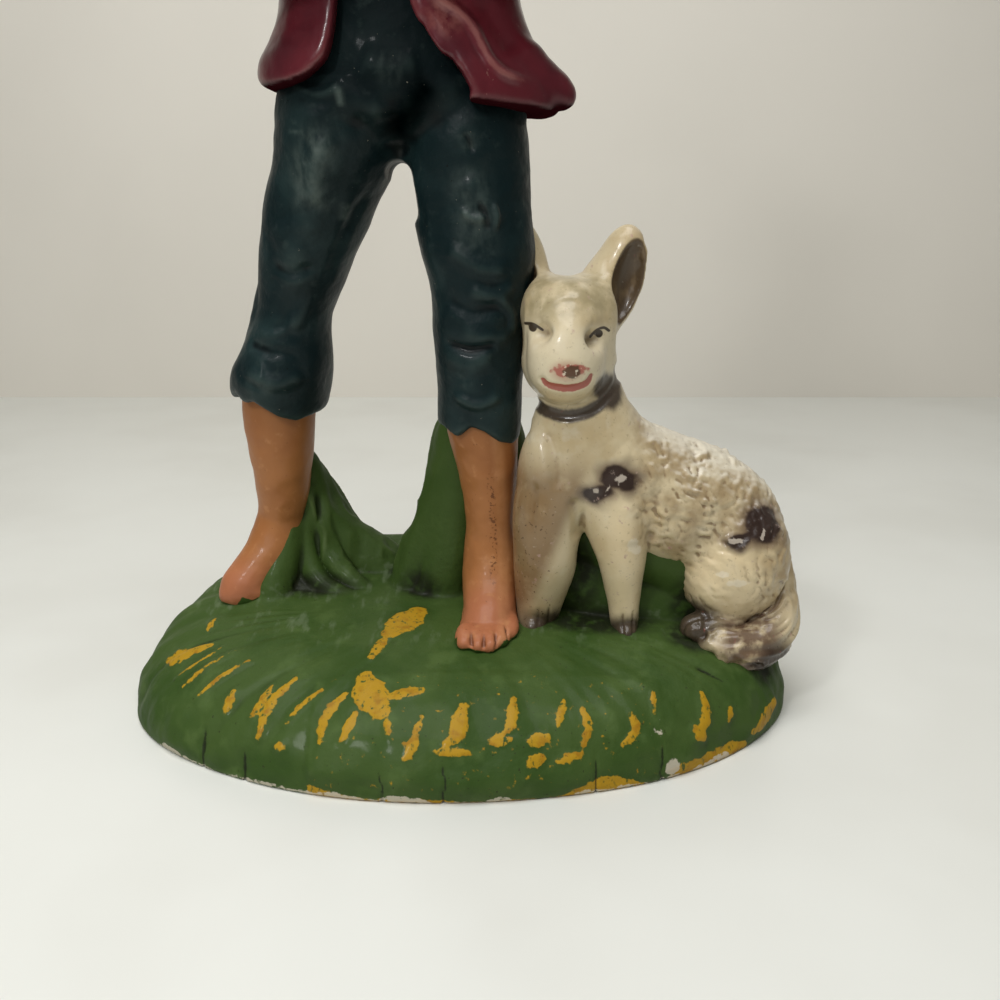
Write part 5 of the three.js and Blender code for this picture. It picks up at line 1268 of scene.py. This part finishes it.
def make_jacket():
    clay = Clay((-62, -31, 135), (37, 32, 209), CELL)
    clay.column(JACKET)
    clay.limb(JACKET_TAIL, soft=3)
    x, y, z = clay.everywhere()
    opening = np.minimum(edge_gap(x, z, RIGHT_EDGE), -edge_gap(x, z, LEFT_EDGE))
    opening = np.minimum(opening, FRONT_Y - y + 0 * opening)
    clay.field = soft_max(clay.field, opening.astype(np.float32), 2.2)
    below_hem = (JACKET_HEM + HEM_TILT * (x - MID_X) - z).astype(np.float32)
    clay.field = soft_max(clay.field, below_hem + 0 * clay.field, 3.4)
    for side in (-1, 1):
        clay.limb([(*place, girth) for place, girth in zip(arm(side), SLEEVE_GIRTHS)], soft=2.5)
        forearm, wrist = arm(side)[4:6]
        clay.ball(1.35 * wrist - 0.35 * forearm, 5, soft=0.8, cutting=True)

    skin = Skin(clay)
    points = skin.points
    x, y, z = points.T
    facing = rise(4 - y, 0, 4)
    lift = 0.4 * rough(points, 16, 3, 2) + 0.12 * rough(points, 6, 6) + pressed(points, JACKET_FOLDS)
    lift = lift + facing * pressed(front_of(points), JACKET_FRONT_FOLDS)
    for side in (-1, 1):
        elbow = arm(side)[3]
        away = apart(points, elbow)
        lift = lift + 0.5 * np.sin(away * 1.1) * (1 - rise(away, 6, 13))
    skin.tool(lift)
    flat = front_of(points)
    skin.masks = {
        "hollow": skin.hollows(),
        "low": rise(152 - z, 0, 12),
        "ridge": facing * ridge(flat, JACKET_RIDGE, 2.2),
        "worn": facing * (1 - rise(apart(flat, *JACKET_WEAR), 0.3, 1.1)),
        "under": rise(-skin.normals()[:, 2], 0.35, 0.75) * rise(150 - z, 0, 4),
    }

    paint = Paint("jacket paint", (102, 33, 42), 0.22, 0.3)
    paint.coat((70, 18, 28), 0.7, speckle=(14, 0.4, 0.68, 4))
    paint.coat((112, 52, 60), 0.4, speckle=(6, 0.56, 0.76, 5, 3))
    paint.coat((64, 16, 24), 0.3, "low")
    # Painted shade in the hollows and painted highlights on the folds
    paint.coat((40, 10, 16), 0.7, "hollow", (0.05, 0.9))
    paint.coat((134, 82, 82), 0.4, "hollow", (-0.3, -1.0))
    paint.coat((150, 110, 100), 0.4, speckle=(1.0, 0.7, 0.75, 3, 5))
    # Painted highlight along the raised fold
    paint.coat((168, 112, 104), 0.38, "ridge", frayed=(1.6, 0.9, 0.3))
    paint.coat((150, 92, 84), 0.55, "worn", speckle=(2.4, 0.36, 0.64, 5, 8))
    # Painted shade on the underside of the hem, with no varnish there
    paint.coat((34, 8, 12), 0.9, "under")
    paint.bare(paint.mask("under"))
    paint.dull(paint.grain(5, 4, shift=2), 0.2)
    paint.relief(0.1, 2.4, 4)
    paint.relief(0.4, 10, 3, 6)
    skin.piece("jacket", "plum_paint", paint.done(),
               "jacket_right_front", "jacket_left_front", "jacket_back", "right_sleeve", "left_sleeve")


def make_shirt():
    clay = Clay((-38, -14, 158), (13, 24, 210), CELL)
    clay.column(SHIRT)
    clay.ball((MID_X, -3, 210), (5.5, 7, 8), soft=1.5, cutting=True)
    skin = Skin(clay)
    points = skin.points
    skin.tool(0.25 * rough(points, 9, 2) + pressed(points, SHIRT_FOLDS))
    skin.masks = {"hollow": skin.hollows()}
    paint = Paint("shirt paint", (206, 192, 160), 0.5)
    paint.coat((188, 170, 132), 0.6, speckle=(8, 0.4, 0.7, 4))
    # Painted shade in the hollows
    paint.coat((140, 114, 76), 0.7, "hollow", (0.05, 0.8))
    paint.coat((120, 96, 62), 0.5, speckle=(0.9, 0.68, 0.73, 3, 3))
    paint.relief(0.1, 1.6, 4)
    skin.piece("shirt", "linen_paint", paint.done(), "torso_front", "torso_back")


# Hands: the way the fingers point, the way across the palm, and the hand's length
FINGERS = np.array([0, -0.322, 0.947])
ACROSS_PALM = np.array([0, -0.947, -0.322])
HAND_LENGTH = 19
FINGER_TIPS = (0.84, 0.97, 0.93, 0.8)
FINGER_SPACING = 2.5
HANDS_APART = 0.12


def make_hand(side, name, node):
    """A flat hand held against the other: wrist, palm, four fingers and a thumb."""
    *_, forearm, wrist, palm = arm(side)
    clay = Clay((MID_X - 14, -36, 172), (MID_X + 14, -12, 208), FINE)

    def on_hand(along, across, radius):
        return (*(palm + FINGERS * along * HAND_LENGTH + ACROSS_PALM * across), radius)

    cuff = (*(0.7 * wrist + 0.3 * forearm), 3.3)
    heel = (*(0.5 * wrist + 0.5 * palm), 3.2)
    clay.limb((cuff, (*wrist, 3.3), heel, on_hand(0.05, 0, 2.6)))
    for across in (-2.9, -1, 1, 2.9):
        clay.limb((on_hand(-0.05, across * 0.8, 2.3), on_hand(0.36, across, 2.1)), soft=1.5)
    for k, tip in enumerate(FINGER_TIPS):
        across = (1.5 - k) * FINGER_SPACING
        finger = (on_hand(0.3, across, 1.65), on_hand(tip * 0.62, across, 1.55), on_hand(tip, across, 1.15))
        clay.limb(finger, soft=0.35)
    clay.limb((on_hand(0.02, -3, 2), on_hand(0.25, -5, 1.7), on_hand(0.5, -5.2, 1.3)), soft=1)
    x = clay.everywhere()[0]
    middle = (MID_X + HANDS_APART * side - x) * side
    clay.field = soft_max(clay.field, middle.astype(np.float32) + 0 * clay.field, 0.3)
    skin = Skin(clay)
    points = skin.points
    skin.tool(0.1 * rough(points, 5, side))
    skin.masks = {"hollow": skin.hollows(1), "tips": rise((points - palm) @ FINGERS, 9, 18)}
    paint = Paint(name + " paint", (196, 134, 92), 0.4, 0.15)
    paint.coat((166, 104, 64), 0.5, speckle=(7, 0.4, 0.7))
    paint.coat((206, 132, 100), 0.6, "tips")
    # Painted shade between the fingers and in the hollows
    paint.coat((104, 58, 32), 0.75, "hollow", (0.1, 0.8))
    paint.coat((110, 62, 34), 0.5, speckle=(0.8, 0.72, 0.76, 2, 8))
    paint.relief(0.06, 2.2, 4)
    skin.piece(name, "skin_paint", paint.done(), node)


# Head: a calm, plain face with the usual proportions; places are (out from the middle, y, z), then a radius
EYE_OUT = 4.6
EYE_Z = 228.6
MOUTH_Z = 219.2
JAW = ((6.2, 2.6, 221.5, 2.2), (4.2, -3.4, 217.2, 2.2), (1.8, -6.8, 215.2, 2.2))
BROW = ((2.2, -9.3, 231.6, 0.7), (5, -8.9, 232.2, 0.7), (7.6, -7, 231.4, 0.6))
LIDS = (
    ((2.3, -9.5, EYE_Z + 0.2, 0.45), (4.6, -9.3, EYE_Z + 1.35, 0.6), (6.8, -7.6, EYE_Z + 0.2, 0.45)),
    ((2.4, -9.4, EYE_Z - 0.7, 0.4), (4.7, -9, EYE_Z - 1.4, 0.5), (6.7, -7.6, EYE_Z - 0.5, 0.4)),
)
NOSE = ((0, -9.9, 231, 0.55), (0, -11.3, 227.8, 0.7), (0, -12.6, 224.8, 1.2))
NECK = ((0, 5.5, 199, 7.6), (0, 5, 206, 6.7), (0, 4, 216, 6.7))
SMILE = ((-3.3, -10.2, MOUTH_Z + 0.2, 0.28), (0, -11.9, MOUTH_Z - 0.1, 0.32),
         (3.3, -10.2, MOUTH_Z + 0.3, 0.28))

# Painted lines on the face: (out, z)
LASHES = ((2.1, EYE_Z - 0.2), (4.5, EYE_Z + 1.15), (7.1, EYE_Z + 0.1))
EYEBROW = ((2.4, 231.7), (5.2, 232.5), (8.2, 231.3))
# Painted places on it: (out, z) and half-sizes
EYE_WHITE = ((EYE_OUT, EYE_Z), (2.3, 1.1))
LIPS = ((0, MOUTH_Z), (3.3, 1.4))
CHEEK = ((6.6, 222.8), (4.4, 3.6))


def make_head():
    clay = Clay((MID_X - 17, -20, 198), (MID_X + 17, 22, 248), FINE)
    # Skull, face, chin and neck
    clay.ball((MID_X, 4.6, 233), (11.6, 13, 12.4))
    clay.ball((MID_X, -0.4, 225.4), (9.5, 10.4, 11.4), soft=4)
    clay.ball((MID_X, -7, 215.6), (3.4, 3.2, 2.8), soft=3)
    clay.limb(mirrored(1, *NECK), soft=2)
    # Jaw, cheek, brow, eye, lids, ear and nostril of each side
    for side in (-1, 1):
        ear_turn = (-12, 0, 20 * side)
        clay.limb(mirrored(side, *JAW), soft=3)
        clay.ball(*mirrored(side, (5.4, -5.6, 224.2)), (3.4, 3, 3.2), soft=4)
        clay.limb(mirrored(side, *BROW), soft=2)
        clay.ball(*mirrored(side, (EYE_OUT, -12, EYE_Z - 0.1)), (3.2, 3, 1.9), soft=1.6, cutting=True)
        clay.ball(*mirrored(side, (EYE_OUT, -6.6, EYE_Z)), (2.4, 2.6, 1.8), soft=0.4)
        for lid in LIDS:
            clay.limb(mirrored(side, *lid), soft=0.6)
        clay.ball(*mirrored(side, (11.5, 4.6, 226.6)), (1.7, 3.2, 4.5), ear_turn, soft=0.9)
        clay.ball(*mirrored(side, (13, 4, 227)), (1.3, 1.9, 2.8), ear_turn, soft=0.6, cutting=True)
        clay.ball(*mirrored(side, (1.7, -11.3, 223.8)), (0.95, 1.4, 0.9), soft=0.9)
    # Nose, mouth and lips
    clay.limb(mirrored(1, *NOSE), soft=1.3)
    clay.ball((MID_X, -8.9, MOUTH_Z), (4.4, 2.2, 2.8), soft=2.6)
    clay.ball((MID_X, -10.4, MOUTH_Z + 0.65), (2.9, 1.3, 0.7), soft=0.6)
    clay.ball((MID_X, -10.3, MOUTH_Z - 0.7), (2.4, 1.3, 0.8), soft=0.6)
    clay.limb(mirrored(1, *SMILE), soft=0.4, cutting=True)

    skin = Skin(clay)
    points = skin.points
    skin.tool(0.06 * rough(points, 6, 2))
    x, y, z = points.T
    flat = np.stack([np.abs(x - MID_X), z], 1)
    front = rise(-y, 3, 5)
    eye = apart(flat, *EYE_WHITE)
    iris = apart(flat, (EYE_OUT - 0.1, EYE_Z))
    lips = apart(flat, *LIPS)
    skin.masks = {
        "white": within((1.05 - eye) * 2) * front,
        "iris": within(1.15 - iris) * front,
        "pupil": within(0.55 - iris) * front,
        "line": within(0.35 - span_to(flat, curve_through(LASHES))[0]) * front,
        "brow": within(0.5 - span_to(flat, curve_through(EYEBROW))[0]) * front,
        "lips": within((1 - lips) * 2) * front,
        "blush": (1 - rise(apart(flat, *CHEEK), 0.2, 1.2)) * front,
        "hollow": skin.hollows(1),
    }

    paint = Paint("face paint", (200, 140, 98), 0.4, 0.15)
    paint.coat((176, 116, 74), 0.45, speckle=(9, 0.42, 0.7))
    paint.coat((206, 118, 92), 0.42, "blush")
    # Painted shade in the hollows
    paint.coat((120, 70, 42), 0.6, "hollow", (0.1, 0.8))
    paint.coat((166, 78, 64), 0.7, "lips", (0.3, 0.8))
    paint.coat((226, 218, 200), 0.95, "white", (0.42, 0.6))
    paint.coat((78, 50, 26), 0.95, "iris", (0.42, 0.6))
    paint.coat((18, 14, 10), 0.95, "pupil", (0.42, 0.6))
    paint.coat((52, 32, 18), 0.9, "line", (0.45, 0.65))
    paint.coat((58, 38, 22), 0.7, "brow", frayed=(0.9, 0.3, 0.2))
    paint.coat((120, 74, 44), 0.5, speckle=(0.8, 0.73, 0.77, 2, 8))
    paint.relief(0.05, 2, 4)
    skin.piece("face", "skin_paint", paint.done(), "head")


# Whorl from which the locks run, in plan
WHORL = (MID_X - 3, 8)


def make_hair():
    clay = Clay((MID_X - 17, -18, 214), (MID_X + 17, 24, 251), FINE)
    clay.ball((MID_X, 5.4, 233.4), (13.2, 14.4, 13.8))
    clay.ball((MID_X, 12.5, 222.5), (9, 6, 8), soft=4)
    x, y, z = clay.everywhere()
    out = np.abs(x - MID_X)
    hairline = 239.8 + 0.7 * np.sin(x * 1.1) - 0.05 * out**2 - np.clip(y + 3, 0, None) * 1.15
    face = (hairline - z) * 0.62
    nape = 216.5 - z
    clay.field = soft_max(clay.field, np.maximum(face, nape + 0 * face).astype(np.float32), 1.6)
    skin = Skin(clay)
    points = skin.points
    beside, behind, z = (points - (*WHORL, 0)).T
    crown = np.stack([np.arctan2(behind, beside) * 9, np.hypot(beside, behind) * 0.12, z * 0.16], 1)
    locks = 1 - 2 * np.abs(noise(crown, 1.5, 2))
    skin.tool(0.55 * locks + 0.35 * noise(points, 6, 4))
    skin.masks = {"hollow": skin.hollows(1)}
    paint = Paint("hair paint", (64, 42, 26), 0.38, 0.15)
    paint.coat((44, 28, 16), 0.7, speckle=(6, 0.4, 0.7, 4))
    # Painted shade between the locks and painted highlights on them
    paint.coat((20, 12, 8), 0.85, "hollow", (0.05, 0.8))
    paint.coat((108, 78, 48), 0.5, "hollow", (-0.2, -1.0))
    paint.relief(0.1, 1.2, 4)
    skin.piece("hair_cap", "hair_paint", paint.done(), "hair")


# Pieces shown as the CAD part gives them: the card underneath and the armature inside
def show_as_built():
    card = Paint("grey card", (150, 132, 102), 0.85)
    card.coat((120, 102, 76), 0.7, speckle=(14, 0.4, 0.7, 5))
    card.coat((86, 70, 50), 0.6, speckle=(1.4, 0.62, 0.72, 4, 3))
    card.relief(0.12, 0.8, 4)
    wood = Paint("dowel wood", (172, 140, 96), 0.65)
    wood.coat((128, 96, 58), 0.7, speckle=(1.2, 0.42, 0.65, 4, 0, (6, 6, 0.6)))
    wire = Paint("iron wire", (112, 108, 102), 0.45)
    wire.coat((70, 48, 34), 0.7, speckle=(2, 0.5, 0.66, 4))
    wire.shader.inputs["Metallic"].default_value = 0.9
    by_slot = {"base_card": card.done(), "dowel_wood": wood.done(), "iron_wire": wire.done()}
    for part in frame["record"]["subparts"]:
        if part["material_slot"] in by_slot:
            mesh = frame["nodes"][part["node"]].data
            mesh.materials.clear()
            mesh.materials.append(by_slot[part["material_slot"]])


make_base()
make_leg("left_bare_leg", "left_leg", LEFT_LEG, LEFT_FOOT, LEFT_SOLE, LEFT_TOES, 2, 1.0)
make_leg("right_bare_leg", "right_leg", RIGHT_LEG, RIGHT_FOOT, RIGHT_SOLE, RIGHT_TOES, 42, 0.0)
make_trousers()
make_jacket()
make_shirt()
make_hand(-1, "right_bare_hand", "right_hand")
make_hand(1, "left_bare_hand", "left_hand")
make_head()
make_hair()
make_dog()
show_as_built()


# Stage: pale floor, plain wall, soft light and the photo's view
CAMERA_AT = (9.11, -231.72, 122.69)
CAMERA_PITCH = 17
CAMERA_LENS = 36
WALL_Y = 392
FLOOR_FRONT = -700
STAGE_REACH = 900
ROOM_COLOUR = (1.0, 0.98, 0.95, 1)
ROOM_LIGHT = 0.12


def stage_plane(name, near, far, material):
    """A sheet across the stage between two edges given as (y, z)."""
    ends = ((-STAGE_REACH, near), (STAGE_REACH, near), (STAGE_REACH, far), (-STAGE_REACH, far))
    mesh = bpy.data.meshes.new(name)
    mesh.from_pydata([(x * MM, y * MM, z * MM) for x, (y, z) in ends], [], [(0, 1, 2, 3)])
    mesh.materials.append(material)
    made = bpy.data.objects.new(name, mesh)
    bpy.context.scene.collection.objects.link(made)
    return made


def softbox(name, place, aim, size, power):
    data = bpy.data.lights.new(name, "AREA")
    data.shape = "RECTANGLE"
    data.size, data.size_y = (value * MM for value in size)
    data.energy = power
    made = bpy.data.objects.new(name, data)
    made.location = [value * MM for value in place]
    direction = np.array(aim, float) - np.array(place, float)
    flat = math.hypot(direction[0], direction[1])
    made.rotation_euler = (math.atan2(flat, -direction[2]), 0, math.atan2(-direction[0], direction[1]))
    bpy.context.scene.collection.objects.link(made)


floor_paint = Paint("pale floor", (232, 233, 226), 0.32)
floor_paint.coat((222, 222, 214), 0.6, speckle=(90, 0.4, 0.7))
floor = stage_plane("floor", (FLOOR_FRONT, 0), (WALL_Y, 0), floor_paint.done())
wall_paint = Paint("pale wall", (238, 233, 222), 0.6)
wall_paint.coat((230, 225, 214), 0.5, speckle=(160, 0.4, 0.7))
wall = stage_plane("wall", (WALL_Y, 0), (WALL_Y, STAGE_REACH), wall_paint.done())

softbox("overhead light", (-40, -120, 620), (0, 0, 60), (520, 420), 3.1)
softbox("front light", (-160, -520, 420), (0, 0, 80), (360, 360), 0.42)
softbox("window", (-190, -330, 360), (0, 0, 70), (60, 60), 0.5)
world = bpy.data.worlds.new("room light")
world.use_nodes = True
world.node_tree.nodes["Background"].inputs[0].default_value = ROOM_COLOUR
world.node_tree.nodes["Background"].inputs[1].default_value = ROOM_LIGHT
scene = bpy.context.scene
scene.world = world

camera_data = bpy.data.cameras.new("photo view")
camera_data.lens = CAMERA_LENS
camera_data.sensor_width = 36
camera_data.clip_start = 0.01
camera = bpy.data.objects.new("photo view", camera_data)
camera.location = [value * MM for value in CAMERA_AT]
camera.rotation_euler = (math.radians(90 - CAMERA_PITCH), 0, 0)
scene.collection.objects.link(camera)
scene.camera = camera
scene.view_settings.view_transform = "Standard"
scene.view_settings.look = "None"
